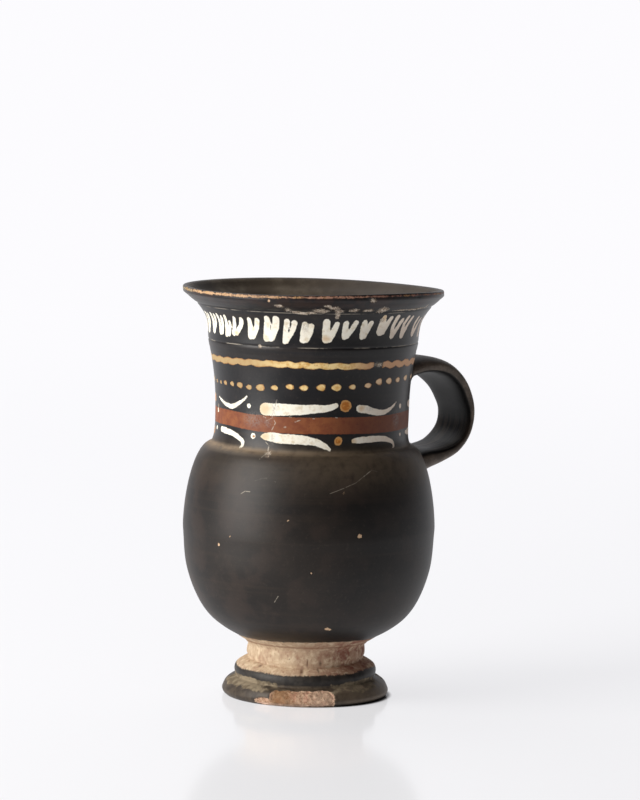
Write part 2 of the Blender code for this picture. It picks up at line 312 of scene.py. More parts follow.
def foot_outline():
    """Stem, torus and foot ring, from below the body down to the table."""
    stem_foot = STEM_RADIUS + BODY_OVERHANG
    flank = TORUS_HEIGHT * TORUS_FLANK
    knots = [(stem_foot, STEM_TOP)]
    knots += [(STEM_RADIUS, STEM_TOP - STEM_HEIGHT * share) for share in STEM_NARROWEST]
    knots.append((stem_foot, STEM_BASE))
    stem = smooth_curve(knots, CURVE_STEPS)
    torus = []
    for step in range(2 * CURVE_STEPS + 1):
        angle = math.radians(90.0 - 45.0 * step / CURVE_STEPS)
        radius = stem_foot + (TORUS_RADIUS - stem_foot) * math.cos(angle)
        torus.append((radius, TORUS_BASE + flank + (TORUS_HEIGHT - flank) * math.sin(angle)))
    widest = (FOOT_RADIUS, FOOT_RING_HEIGHT * FOOT_WIDEST)
    top = zone((TORUS_RADIUS, FOOT_RING_HEIGHT), widest, FOOT_RING_CURVE)
    edge = zone(widest, (REST_RADIUS, 0.0), FOOT_EDGE_CURVE)
    return stem[1:] + torus[1:] + top + edge[1:]


def underside_outline():
    """The flat resting ring and the hollow under the foot, in to near the axis."""
    rest_inner = REST_RADIUS - REST_WIDTH
    recess_radius = STEM_RADIUS - STEM_WALL
    spread = rest_inner - recess_radius
    hollow = [(recess_radius + spread * out, RECESS_DEPTH * up) for out, up in RECESS_CURVE]
    hollow = smooth_curve([(rest_inner, 0.0)] + hollow, CURVE_STEPS)
    return hollow


def inset(points, thickness_top, thickness_bottom):
    """The points moved square into the clay, by a thickness that changes evenly from first to last."""
    outline = np.array(points)
    along = np.gradient(outline, axis=0)
    along /= np.linalg.norm(along, axis=1)[:, None]
    into = np.stack([along[:, 1], -along[:, 0]], axis=1)
    thickness = np.linspace(thickness_top, thickness_bottom, len(outline))
    return [tuple(point) for point in outline + into * thickness[:, None]]


def inside_outline():
    """The inside, from the lip down to the floor near the axis."""
    lip = (LIP_RADIUS - LIP_WALL, HEIGHT - LIP_ROUNDING * 0.5)
    mouth_wall = inset(upper_outline()[::CURVE_STEPS], LIP_WALL, WALL)[1:-1]
    body = inset(body_outline()[::CURVE_STEPS], WALL, WALL)[1:-1]
    floor = (body[-1][0] * FLOOR_FLAT, FLOOR_LEVEL)
    return smooth_curve([lip] + mouth_wall + body + [floor], CURVE_STEPS)


def outer_radius(level):
    """The outside's radius at a height, between the lip's face and the stem."""
    outline = np.array(upper_outline() + body_outline()[1:])[::-1]
    return np.interp(level, outline[:, 1], outline[:, 0])


def middle_of_wall(level):
    """The radius of the middle of the clay wall at a height, between the neck and the belly."""
    return float(outer_radius(level)) - WALL / 2


# --- Vessel mesh ---------------------------------------------------------------------------------


def resample(outline, spacing):
    """The outline as points whose distances follow spacing, a function of height."""
    points = np.array(outline)
    steps = np.linalg.norm(np.diff(points, axis=0), axis=1)
    middles = 0.5 * (points[1:, 1] + points[:-1, 1])
    crowding = np.concatenate([[0.0], np.cumsum(steps / np.array([spacing(level) for level in middles]))])
    count = max(2, int(round(crowding[-1])) + 1)
    wanted = np.linspace(0.0, crowding[-1], count)
    return np.stack([np.interp(wanted, crowding, points[:, 0]), np.interp(wanted, crowding, points[:, 1])], axis=1)


def neck_spacing(level):
    """Row spacing between lip and neck angle, finer at the lip and in the incised lines."""
    if level > HEIGHT - LIP_FACE_HEIGHT - 0.0004:
        return LIP_SPACING
    for height, depth, half in GROOVES[:2]:
        if abs(level - height * MM) < 2.2 * half * MM:
            return GROOVE_SPACING
    return NECK_SPACING


def vessel_rows():
    """Rows of the vessel from the inside's floor over the lip to the underside: points, columns and kind."""
    inside = resample(inside_outline()[::-1], lambda level: INSIDE_SPACING if level < 0.12 else 0.0012)
    neck = resample(lip_outline() + upper_outline()[1:], neck_spacing)
    body = resample(body_outline(), lambda level: BODY_SPACING)
    foot = resample(foot_outline(), lambda level: FOOT_SPACING)
    under = resample(underside_outline(), lambda level: UNDER_SPACING)
    rows = [(point, COARSE_COLUMNS, "inside") for point in inside]
    rows += [(point, FINE_COLUMNS, "outside") for point in neck]
    rows += [(point, COARSE_COLUMNS, "outside") for point in body[1:-1]]
    rows += [(point, FINE_COLUMNS, "outside") for point in foot]
    rows += [(point, COARSE_COLUMNS, "under") for point in under]
    return rows


def dents(front, level, radius, marks):
    """How deep a few small dents are at each place, in millimetres."""
    depth = np.zeros_like(front)
    for middle, height, half_wide, half_high, deepest in marks:
        across = wrap(front - middle) * np.radians(1.0) * radius / half_wide
        along = (level - height) / half_high
        depth += deepest * np.exp(-(across ** 2 + along ** 2) ** 1.5)
    return depth


def wrap(degrees):
    """Degrees brought between -180 and 180."""
    return (degrees + 180.0) % 360.0 - 180.0


def foot_chip(front, level):
    """How far inside the foot ring's chip each place lies, in millimetres, the chip having rounded corners."""
    across = wrap(front - CHIP_FRONT) * np.radians(1.0) * FOOT_RADIUS / MM
    uneven = 0.14 * np.sin(1.1 * across + 0.7) + 0.08 * np.sin(2.6 * across + 2.0) + 0.02 * across
    beyond_side = np.maximum(np.abs(across) - (CHIP_HALF - CHIP_CORNER), 0.0)
    beyond_top = np.maximum(level - (CHIP_TOP + uneven - CHIP_CORNER), 0.0)
    inside = CHIP_CORNER - np.hypot(beyond_side, beyond_top)
    tail_across = wrap(front - CHIP_TAIL[0]) * np.radians(1.0) * FOOT_RADIUS / MM
    tail = 1.0 - np.hypot(tail_across / CHIP_TAIL[2], (level - CHIP_TAIL[1]) / CHIP_TAIL[3])
    return np.maximum(inside, tail * CHIP_TAIL[3])


def rough(points, scale, seed):
    """Cloudy noise between about -1 and 1 at each point, scale being bumps per millimetre."""
    offset = Vector((seed * 3.7, seed * 1.3, seed * 2.1))
    return np.array([noise.fractal(Vector(point) * scale + offset, 1.0, 2.0, 3) for point in points])


def surface_offset(front, level, radius):
    """How far hand work and wear move the clay's outside out or in, in millimetres."""
    turn = np.radians(front)
    offset = OUT_OF_ROUND / MM * (np.cos(2 * turn + 0.6 + 0.01 * level) + 0.6 * np.cos(3 * turn - 1.0 + 0.03 * level))
    for height, depth, half in GROOVES:
        offset -= depth * np.exp(-((level - height) / half) ** 2)
    offset += STEM_RIDGE[1] * np.exp(-((level - STEM_RIDGE[0]) / STEM_RIDGE[2]) ** 2)
    offset -= STEM_GROOVE[1] * np.exp(-((level - STEM_GROOVE[0]) / STEM_GROOVE[2]) ** 2)
    offset -= dents(front, level, radius, LIP_CHIPS)
    offset -= dents(front, level, radius, STEM_PITS)
    return offset


def add_foot_wear(offset, front, level, points):
    """Adds the rough stem and the chipped foot ring to the offsets of the lowest places."""
    low = np.nonzero(level < 21.0)[0]
    stretched = points[low] * np.array([1.0, 1.0, 0.22])
    streaks = rough(stretched, 1.1, 3)
    on_stem = ease(level[low], 11.0, 13.0) * (1.0 - ease(level[low], 18.5, 20.5))
    offset[low] += STEM_ROUGHNESS * streaks * on_stem
    inside = ease(foot_chip(front[low], level[low]), -0.15, 0.45) * ease(level[low], -0.3, 0.2)
    crumbs = rough(points[low], 0.75, 8) + 0.6 * rough(points[low], 1.9, 5)
    offset[low] -= inside * CHIP_DEPTH * (0.85 + 0.42 * crumbs)
    offset[low] += 0.02 * rough(points[low], 0.9, 11)


def warp(front, level):
    """How far mouth and torus stand above or below where they would in an even turned form, in millimetres."""
    rise = WARP_DROP
    for count, (cosine, sine) in enumerate(WARP_WAVES, start=1):
        turn = count * np.radians(front)
        rise = rise + cosine * np.cos(turn) + sine * np.sin(turn)
    facing = np.maximum(np.cos(np.radians(front)), 0.0) ** 2
    sag = SAG * facing * ease(level, *SAG_IN) * (1.0 - ease(level, *SAG_OUT))
    return rise * ease(level, WARP_FROM, WARP_TO) - sag


def unwarped(front, level):
    """The height a place had before the warp."""
    thrown = level
    for step in range(10):
        thrown = level - warp(front, thrown)
    return thrown


def along_form(table, level):
    """A value read at heights in millimetres from a smooth curve through a short table."""
    curve = np.array(smooth_curve(table, CURVE_STEPS))
    return np.interp(level, curve[:, 0], curve[:, 1])


def shifted(x, y, level):
    """Places moved with the form's small stand-off, all in metres."""
    share = along_form(FORM_STAND, level / MM) * MM
    return x + share * VIEW_RIGHT.x, y + share * VIEW_RIGHT.y


def vessel_points(rows):
    """The vessel's points in metres, in the order of its rows."""
    radius = np.concatenate([np.full(columns, point[0]) for point, columns, kind in rows])
    level = np.concatenate([np.full(columns, point[1]) for point, columns, kind in rows])
    azimuth = np.concatenate([np.arange(columns) * (2.0 * math.pi / columns) for point, columns, kind in rows])
    outside = np.concatenate([np.full(columns, kind == "outside") for point, columns, kind in rows])
    lining = np.concatenate([np.full(columns, kind == "inside") for point, columns, kind in rows])
    front = wrap(np.degrees(azimuth) - FRONT_AZIMUTH)
    plain = np.stack([radius * np.cos(azimuth), radius * np.sin(azimuth), level], axis=1) / MM
    offset = surface_offset(front, level / MM, radius / MM)
    add_foot_wear(offset, front, level / MM, plain)
    offset += along_form(FORM_TRIM, level / MM)
    radius = radius + np.where(outside, offset * MM, 0.0)
    radius = radius + np.where(lining, ease(level / MM, 80.0, 95.0) * 0.30 * MM, 0.0)
    x, y = shifted(radius * np.cos(azimuth) + AXIS, radius * np.sin(azimuth), level)
    return np.stack([x, y, level + warp(front, level / MM) * MM], axis=1)


def row_faces(start, columns, next_start, next_columns):
    """Faces between two rows, which have equally many columns or one twice as many as the other."""
    faces = []
    if columns == next_columns:
        for column in range(columns):
            after = (column + 1) % columns
            faces.append((start + column, start + after, next_start + after, next_start + column))
        return faces
    fine_first = columns > next_columns
    fine, coarse = (start, next_start) if fine_first else (next_start, start)
    fine_columns = max(columns, next_columns)
    for column in range(min(columns, next_columns)):
        after = (column + 1) % min(columns, next_columns)
        f0 = fine + 2 * column
        f1 = f0 + 1
        f2 = fine + (2 * column + 2) % fine_columns
        c0, c1 = coarse + column, coarse + after
        group = [(f0, f1, c0), (f1, c1, c0), (f1, f2, c1)]
        faces += group if fine_first else [face[::-1] for face in group]
    return faces


def vessel_mesh():
    """The vessel without its handle."""
    rows = vessel_rows()
    points = vessel_points(rows)
    starts = np.concatenate([[0], np.cumsum([columns for point, columns, kind in rows])])
    faces = []
    for index in range(len(rows) - 1):
        faces += row_faces(int(starts[index]), rows[index][1], int(starts[index + 1]), rows[index + 1][1])
    first, last = len(points), len(points) + 1
    points = np.vstack([points, (AXIS, 0.0, FLOOR_LEVEL), (AXIS, 0.0, RECESS_DEPTH)])
    for column in range(COARSE_COLUMNS):
        after = (column + 1) % COARSE_COLUMNS
        faces.append((first, after, column))
        faces.append((last, int(starts[-2]) + column, int(starts[-2]) + after))
    mesh = bpy.data.meshes.new("vessel")
    mesh.from_pydata(points.tolist(), [], faces)
    return mesh


# --- Handle --------------------------------------------------------------------------------------


def strap_path():
    """The strap's middle line as (radius, height), from its upper root round to its lower root."""
    low = ANGLE_LEVEL - HANDLE_ROOT_DROP
    rise = HANDLE_CROWN_RISE + HANDLE_ROOT_DROP
    root = middle_of_wall(low + rise * STRAP_UPPER[0][1])
    reach = root + HANDLE_PROJECTION
    low_root = middle_of_wall(low)
    points = [(root + (reach - root) * out, low + rise * up) for out, up in STRAP_UPPER]
    points += [(low_root + (reach - low_root) * out, low + rise * up) for out, up in STRAP_LOWER]
    return smooth_curve(points, STRAP_STEPS)


def strap_rings():
    """Rings of the strap: a flat oval that swells towards both roots and flares where it meets the wall."""
    path = np.array(strap_path())
    along = np.gradient(path, axis=0)
    along /= np.linalg.norm(along, axis=1)[:, None]
    last = len(path) - 1
    rings = []
    for index, (radius, level) in enumerate(path):
        nearness = max(0.0, (abs(2.0 * index / last - 1.0) - STRAP_EVEN) / (1.0 - STRAP_EVEN))
        swell = nearness ** STRAP_THICKENING
        width = HANDLE_WIDTH + (HANDLE_ROOT_WIDTH - HANDLE_WIDTH) * nearness
        thickness = HANDLE_THICKNESS + (HANDLE_ROOT_THICKNESS - HANDLE_THICKNESS) * swell
        stand_off = (radius - float(outer_radius(level))) / MM
        fillet = 0.0008 * max(0.0, 1.0 - stand_off / 2.4) ** 2
        share = index / last
        width += 2.0 * fillet + STRAP_UPPER_SPREAD * max(0.0, 1.0 - 2.2 * index / last)
        thickness += 1.5 * fillet
        inner = 0.5 * thickness + along_form(STRAP_FILLING, share) * MM
        far_filling = along_form(STRAP_FAR_FILLING, share) * MM
        far_spread = along_form(STRAP_FAR_SPREAD, share) * MM
        squareness = 1.0 + (STRAP_INNER_SQUARENESS - 1.0) * ease(share, 0.02, 0.22)
        ring = []
        for side in range(STRAP_SIDES):
            angle = 2.0 * math.pi * side / STRAP_SIDES
            outward = 0.5 * thickness * math.sin(angle)
            far = max(0.0, math.cos(angle))
            if outward < 0.0:
                outward = -(inner + far_filling * far) * abs(math.sin(angle)) ** squareness
            fullness = abs(math.cos(angle)) ** STRAP_SQUARENESS
            across = 0.5 * width * math.copysign(fullness, math.cos(angle)) + far_spread * far
            x = radius - along[index][1] * outward
            z = level + along[index][0] * outward
            if index in (0, last):
                x = math.sqrt(middle_of_wall(z) ** 2 - across ** 2)
            ring.append((x + AXIS, across, z))
        rings.append(ring)
    return rings


def strap_mesh():
    """The handle as a closed body through its rings."""
    rings = strap_rings()
    shape = bmesh.new()
    rows = [[shape.verts.new(point) for point in ring] for ring in rings]
    for row, following in zip(rows, rows[1:]):
        for side in range(STRAP_SIDES):
            after = (side + 1) % STRAP_SIDES
            shape.faces.new((row[side], row[after], following[after], following[side]))
    shape.faces.new(rows[0])
    shape.faces.new(rows[-1])
    bmesh.ops.recalc_face_normals(shape, faces=shape.faces)
    mesh = bpy.data.meshes.new("strap")
    shape.to_mesh(mesh)
    shape.free()
    return mesh


def clay_object():
    """Vessel and handle as one closed mesh."""
    vessel = bpy.data.objects.new("vessel_form", vessel_mesh())
    strap = bpy.data.objects.new("strap_form", strap_mesh())
    for item in (vessel, strap):
        bpy.context.scene.collection.objects.link(item)
    union = vessel.modifiers.new("union", "BOOLEAN")
    union.operation = "UNION"
    union.object = strap
    union.solver = "EXACT"
    depsgraph = bpy.context.evaluated_depsgraph_get()
    mesh = bpy.data.meshes.new_from_object(vessel.evaluated_get(depsgraph))
    mesh.name = "clay"
    for item in (vessel, strap):
        bpy.data.objects.remove(item, do_unlink=True)
    mesh.shade_smooth()
    piece = bpy.data.objects.new("olpe_clay", mesh)
    bpy.context.scene.collection.objects.link(piece)
    return piece


# --- Painted ornament, as places on the pot ------------------------------------------------------

# White tongues under the mouth: each arm's top in degrees and height, where both arms end in degrees, the height
# of the foot, and half widths of left arm, right arm and foot
TONGUES = (
    (-76.0, 131.2, -72.0, 131.0, -78.5, -77.0, 124.5, 0.80, 0.75, 0.80),
    (-66.5, 131.2, -62.8, 131.0, -68.0, -67.0, 124.8, 0.75, 0.75, 0.75),
    (-59.2, 131.3, -55.8, 130.8, -59.4, -57.8, 124.8, 0.60, 0.60, 0.80),
    (-52.2, 131.2, -49.6, 129.3, -53.4, -51.2, 124.4, 0.60, 0.60, 0.75),
    (-45.1, 131.0, -40.3, 130.8, -47.2, -44.9, 125.1, 0.70, 0.90, 0.85),
    (-34.9, 131.0, -30.3, 131.0, -35.4, -33.6, 124.6, 0.90, 0.88, 0.98),
    (-24.3, 131.9, -19.4, 132.0, -25.4, -22.8, 124.5, 0.95, 1.15, 1.30),
    (-13.8, 131.2, -9.8, 130.8, -15.3, -14.4, 123.4, 0.95, 0.90, 0.72),
    (-4.6, 130.4, -1.1, 129.8, -5.4, -3.8, 124.3, 1.00, 0.90, 1.12),
    (6.5, 131.3, 11.8, 130.5, 6.7, 8.4, 124.5, 1.25, 0.90, 1.15),
    (16.8, 130.8, 21.9, 131.0, 16.7, 18.0, 125.5, 0.95, 0.93, 0.93),
    (26.9, 131.1, 30.6, 130.8, 26.8, 27.7, 125.5, 0.92, 0.95, 1.00),
    (37.5, 132.7, 42.2, 132.1, 37.8, 39.0, 127.1, 0.80, 0.78, 1.55),
    (46.7, 132.4, 51.6, 131.2, 46.2, 46.9, 125.0, 0.95, 0.90, 0.75),
    (55.8, 132.0, 60.0, 131.7, 54.5, 55.4, 124.9, 0.78, 0.80, 0.75),
    (68.0, 131.3, 73.2, 130.6, 66.8, 67.8, 125.0, 0.75, 0.75, 0.80),
    (79.5, 131.3, 84.0, 131.0, 78.0, 79.5, 124.4, 0.75, 0.75, 0.80),
)

# Brush strokes above and below the red band: degrees, height and half width along each
LONG_UPPER = ((-27.8, 100.5, 2.15), (-23.0, 100.5, 2.05), (-18.7, 100.6, 1.98), (-12.7, 100.7, 1.85),
              (-6.9, 100.8, 1.68), (0.1, 101.1, 1.42), (5.8, 101.3, 1.25), (10.5, 101.7, 1.08), (14.0, 102.4, 0.85))
LEFT_UPPER = ((-71.0, 102.5, 0.28), (-65.4, 101.3, 0.50), (-59.0, 100.4, 0.68), (-53.0, 100.3, 0.78),
              (-47.0, 101.8, 0.58), (-42.7, 103.3, 0.43), (-40.6, 104.5, 0.25))
RIGHT_UPPER = ((29.0, 101.2, 1.28), (33.5, 100.8, 1.25), (38.5, 100.0, 1.12), (44.0, 99.5, 1.00), (49.0, 99.7, 0.80),
               (53.5, 100.6, 0.58), (57.0, 101.7, 0.36), (58.9, 102.6, 0.22))
LONG_LOWER = ((-29.7, 91.3, 0.50), (-27.0, 91.4, 1.20), (-23.1, 91.3, 1.55), (-18.0, 91.0, 1.65), (-12.0, 90.9, 1.60),
              (-6.0, 90.8, 1.50), (-0.4, 90.5, 1.32), (4.3, 89.9, 1.12), (8.4, 88.7, 0.88), (11.0, 87.7, 0.52))
LEFT_LOWER = ((-66.0, 91.9, 0.95), (-58.0, 91.6, 0.95), (-51.5, 91.0, 0.85), (-46.7, 90.1, 0.78), (-42.9, 88.8, 0.66),
              (-42.7, 87.7, 0.55), (-44.4, 86.9, 0.34))
RIGHT_LOWER = ((25.5, 90.5, 0.72), (28.5, 90.6, 1.02), (34.6, 90.7, 1.06), (42.0, 90.8, 1.00), (48.0, 90.6, 0.90),
               (53.0, 89.9, 0.74), (56.8, 88.7, 0.58), (57.0, 87.8, 0.44), (55.6, 87.4, 0.32))
SMALL_WHITES = ((-39.4, 101.1, 0.85), (-35.6, 91.2, 0.95), (64.1, 100.9, 0.80), (78.8, 101.1, 0.80),
                (65.4, 91.3, 0.65), (75.5, 91.6, 0.70), (-73.5, 97.9, 0.80), (-75.0, 91.9, 0.75))
RINGED_DOTS = ((19.9, 102.2, 2.00), (16.1, 90.5, 1.36))

# The yellow line's rounded swellings: how many degrees apart, where its upper and lower notches start, the heights
# of both edges at the notches, how far the swellings stand out, and where the paint is rubbed off
SWELLING = 10.0
UPPER_NOTCH = 0.3
LOWER_NOTCH = 4.8
UPPER_EDGE = 116.42
LOWER_EDGE = 114.86
SWELL = 0.52
LINE_GAP = (39.6, 3.2)

# The row of yellow dots: degrees, height, half width and half height
DOTS = ((-74.1, 107.8, 0.90, 0.80), (-67.0, 107.7, 1.00, 0.80), (-60.7, 107.8, 1.10, 0.95), (-53.4, 107.9, 1.25, 1.05),
        (-46.5, 107.8, 1.45, 1.20), (-39.1, 107.4, 1.35, 1.05), (-31.4, 107.6, 1.70, 1.38), (-22.0, 107.9, 1.40, 1.05),
        (-13.1, 108.4, 1.42, 1.05), (-4.8, 108.2, 1.50, 1.15), (4.9, 108.4, 1.50, 1.36), (13.8, 108.4, 1.80, 1.45),
        (23.6, 108.6, 1.32, 1.08), (33.5, 108.9, 1.42, 1.05), (41.3, 110.0, 1.50, 1.22), (49.5, 110.0, 1.50, 1.28),
        (58.3, 110.0, 1.35, 1.08), (68.0, 110.3, 1.60, 1.14), (80.5, 110.2, 1.60, 1.00))
DOT_CENTRES = ((-39.4, 101.1, 0.42, 0.42), (-35.3, 91.1, 0.50, 0.45))

# Beige crusts: degrees, height, half width, half height
CRUSTS = ((-16.0, 135.8, 1.3, 0.45), (-12.2, 134.5, 1.2, 0.75), (-9.0, 133.8, 1.6, 0.45), (-5.0, 133.4, 2.0, 0.35),
          (-1.5, 133.6, 1.5, 0.35), (3.5, 134.4, 2.3, 0.75), (6.5, 136.1, 1.1, 0.35), (9.6, 135.5, 1.8, 0.50),
          (12.3, 134.3, 1.4, 0.65), (11.7, 133.2, 0.8, 0.90), (11.4, 132.2, 0.6, 0.80), (19.5, 134.7, 1.6, 0.60),
          (26.5, 134.5, 2.1, 0.50), (34.0, 134.5, 1.9, 0.90), (46.0, 134.2, 3.4, 0.28), (55.0, 134.2, 3.4, 0.28),
          (62.0, 134.3, 3.0, 0.28), (66.0, 134.6, 0.8, 0.65), (26.5, 138.0, 1.0, 0.8), (-29.5, 121.6, 0.6, 0.5),
          (-23.5, 85.9, 1.0, 0.6), (36.5, 131.0, 0.9, 0.7), (39.8, 115.8, 1.7, 0.55), (-73.0, 99.2, 0.8, 0.9),
          (-140.0, 134.2, 7.0, 0.8))

# Cream and grey-rubbed patches of the paint: degrees, height, half width, half height
CREAM_PATCHES = ((-28.5, 100.5, 2.3, 2.2), (-28.0, 91.3, 1.6, 1.6), (24.5, 90.4, 1.4, 0.9), (37.5, 132.0, 1.0, 1.4),
                 (-45.0, 125.4, 1.0, 0.8), (6.6, 124.8, 1.4, 0.8), (30.0, 101.3, 1.0, 1.0))
GREY_PATCHES = ((-22.4, 100.6, 0.7, 2.2), (-20.6, 101.8, 0.4, 1.5), (-22.6, 91.0, 0.6, 1.7), (-36.0, 96.6, 3.2, 2.0),
                (59.5, 96.6, 1.6, 2.3), (-62.0, 100.9, 2.2, 0.8), (-50.5, 100.8, 1.8, 0.8), (39.8, 115.9, 2.0, 0.8), (-26.0, 96.0, 1.2, 1.3),
                (-4.5, 128.6, 1.0, 1.4), (36.0, 101.0, 1.2, 0.5))

# Fine scratches: from and to as degrees and height, half width in millimetres, and strength
SCRATCHES = ((-20.6, 103.8, -22.0, 101.0, 0.15, 0.8), (-22.0, 101.0, -23.7, 98.4, 0.18, 0.8),
             (-23.7, 98.4, -21.3, 96.1, 0.16, 0.7), (-21.3, 96.1, -23.4, 93.7, 0.18, 0.8),
             (-28.8, 97.9, -27.6, 97.6, 0.22, 0.7), (-27.4, 96.5, -23.6, 97.7, 0.14, 0.7),
             (-15.8, 94.9, -15.2, 94.9, 0.30, 0.7), (-9.6, 96.7, -6.7, 97.4, 0.17, 0.8),
             (-13.0, 98.4, -11.8, 98.3, 0.16, 0.6), (0.8, 98.0, 1.6, 98.0, 0.16, 0.6),
             (14.0, 98.4, 15.0, 98.3, 0.18, 0.6), (-26.7, 89.5, -24.5, 88.3, 0.18, 0.8),
             (-24.5, 88.3, -24.5, 87.0, 0.22, 0.9), (-24.5, 87.0, -24.3, 85.6, 0.2, 0.7),
             (-26.5, 84.2, -24.4, 85.8, 0.2, 0.6), (-26.6, 77.2, -23.6, 78.0, 0.11, 0.55),
             (-23.6, 78.0, -20.6, 78.4, 0.11, 0.55), (-21.0, 78.1, -15.9, 77.3, 0.1, 0.5),
             (-33.0, 72.7, -31.0, 73.6, 0.17, 0.8), (-31.0, 73.6, -28.4, 73.6, 0.19, 0.7),
             (-16.1, 37.0, -13.9, 39.3, 0.15, 0.75), (9.8, 74.0, 14.6, 75.2, 0.1, 0.35),
             (14.6, 75.2, 22.7, 77.3, 0.11, 0.35), (22.7, 77.3, 26.8, 79.1, 0.11, 0.4),
             (26.8, 79.1, 32.4, 81.2, 0.14, 0.6), (32.4, 81.2, 35.8, 80.6, 0.11, 0.45),
             (-40.0, 65.0, -38.6, 61.0, 0.09, 0.35),
             (-150.0, 70.0, -143.0, 66.5, 0.1, 0.5),
             (170.0, 60.0, 176.0, 55.0, 0.1, 0.45), (80.0, 66.0, 84.0, 60.0, 0.09, 0.4),
             (-100.0, 48.0, -94.0, 45.0, 0.1, 0.4))

# Small knocks that show the clay: degrees, height and radius
SPECKS = ((23.5, 59.9, 0.75), (-44.0, 55.0, 0.50), (11.3, 27.7, 0.70), (13.0, 27.5, 0.5), (-19.5, 137.9, 0.45),
          (16.4, 74.2, 0.24), (-9.1, 64.9, 0.22), (-37.2, 58.3, 0.22), (1.6, 47.7, 0.24),
          (-160.0, 50.0, 0.6), (140.0, 40.0, 0.5), (-110.0, 68.0, 0.45))

# Where the ornament stops at both sides of the handle, and where its hidden part starts
ORNAMENT_END = 103.0
ORNAMENT_START = -212.0
HIDDEN_FROM = -84.0


def capsule_depth(front, level, radius, points):
    """How far inside a brush stroke each place lies, in millimetres."""
    best = np.full(front.shape, -9.0)
    curve = np.array(smooth_curve(points, 4))
    middle = 0.5 * (curve[:, 0].min() + curve[:, 0].max())
    reach = 0.5 * (curve[:, 0].max() - curve[:, 0].min()) + 8.0
    lowest, highest = curve[:, 1].min() - 4.0, curve[:, 1].max() + 4.0
    near = np.nonzero((np.abs(wrap(front - middle)) < reach) & (level > lowest) & (level < highest))[0]
    scale = np.radians(1.0) * radius[near]
    across = wrap(front[near] - middle) * scale
    height = level[near]
    inside = np.full(near.shape, -9.0)
    for first, second in zip(curve, curve[1:]):
        a = (first[0] - middle) * scale
        b = (second[0] - middle) * scale
        run, rise = b - a, second[1] - first[1]
        share = ((across - a) * run + (height - first[1]) * rise) / (run * run + rise * rise + 1e-9)
        share = np.clip(share, 0.0, 1.0)
        gap = np.hypot(across - a - share * run, height - first[1] - share * rise)
        inside = np.maximum(inside, first[2] + share * (second[2] - first[2]) - gap)
    best[near] = inside
    return best


def disc_depth(front, level, radius, middle, height, size):
    """How far inside a dot each place lies, in millimetres."""
    across = wrap(front - middle) * np.radians(1.0) * radius
    return size - np.hypot(across, level - height)


def tongue_strokes(tongue):
    """The two arms of a tongue as brush strokes, the second bulging a little before it meets the first."""
    left, left_top, right, right_top, left_foot, right_foot, foot, left_half, right_half, foot_half = tongue
    left_knee = (left + 0.65 * (left_foot - left), foot + 0.45 * (left_top - foot), 0.4 * left_half + 0.6 * foot_half)
    right_knee = (right + 0.30 * (right_foot - right), foot + 0.50 * (right_top - foot), 0.5 * (right_half + foot_half))
    first = ((left, left_top - 0.8 * left_half, left_half), left_knee, (left_foot, foot, foot_half))
    second = ((right, right_top - 0.8 * right_half, right_half), right_knee, (right_foot, foot + 0.2, foot_half))
    return first, second


def hidden_tongues(rng):
    """Tongues round the side that the photograph doesn't show."""
    tongues = []
    place = HIDDEN_FROM - 1.5
    while place > ORNAMENT_START + 2.0:
        spread = rng.uniform(1.9, 2.7)
        lean = rng.uniform(-0.8, 0.8)
        top, foot = rng.uniform(130.6, 131.8), rng.uniform(124.2, 125.3)
        thick = rng.uniform(0.80, 1.10)
        tongues.append((place - spread, top, place + spread, top - 0.2, place + lean - 0.7, place + lean + 0.7, foot,
                        thick, thick * 0.95, thick))
        place -= rng.uniform(9.4, 10.6)
    for place in (91.5, 100.0):
        tongues.append((place - 2.3, 131.2, place + 2.3, 131.0, place - 0.6, place + 0.8, 124.9, 0.85, 0.80, 0.90))
    return tongues


def hidden_strokes():
    """Brush strokes round the hidden side: those of the front moved round, and a few more."""
    strokes = []
    for stroke, turn in ((LONG_UPPER, -101.0), (LONG_LOWER, -101.0), (LEFT_UPPER, -101.5), (LEFT_LOWER, -101.5)):
        moved = [(degrees + turn, height, half) for degrees, height, half in stroke]
        strokes.append(moved)
    strokes.append([(-205.0, 101.2, 1.4), (-199.0, 100.8, 1.6), (-192.0, 100.6, 1.3), (-184.0, 101.9, 0.7)])
    strokes.append([(-205.0, 91.0, 1.3), (-198.0, 91.2, 1.5), (-190.0, 90.3, 1.2), (-183.0, 88.0, 0.6)])
    strokes.append([(80.0, 101.0, 1.1), (88.0, 100.7, 1.4), (96.0, 101.0, 1.2), (102.0, 102.0, 0.6)])
    strokes.append([(78.5, 91.5, 1.0), (86.0, 91.3, 1.3), (94.0, 90.7, 1.1), (101.0, 89.0, 0.6)])
    return strokes


def white_depth(front, level, radius, rng):
    """How far inside the white paint each place lies."""
    depth = np.full(front.shape, -9.0)
    strokes = [LONG_UPPER, LEFT_UPPER, RIGHT_UPPER, LONG_LOWER, LEFT_LOWER, RIGHT_LOWER] + hidden_strokes()
    for tongue in list(TONGUES) + hidden_tongues(rng):
        strokes += tongue_strokes(tongue)
    for stroke in strokes:
        depth = np.maximum(depth, capsule_depth(front, level, radius, stroke))
    for middle, height, size in SMALL_WHITES:
        depth = np.maximum(depth, disc_depth(front, level, radius, middle, height, size))
    return depth


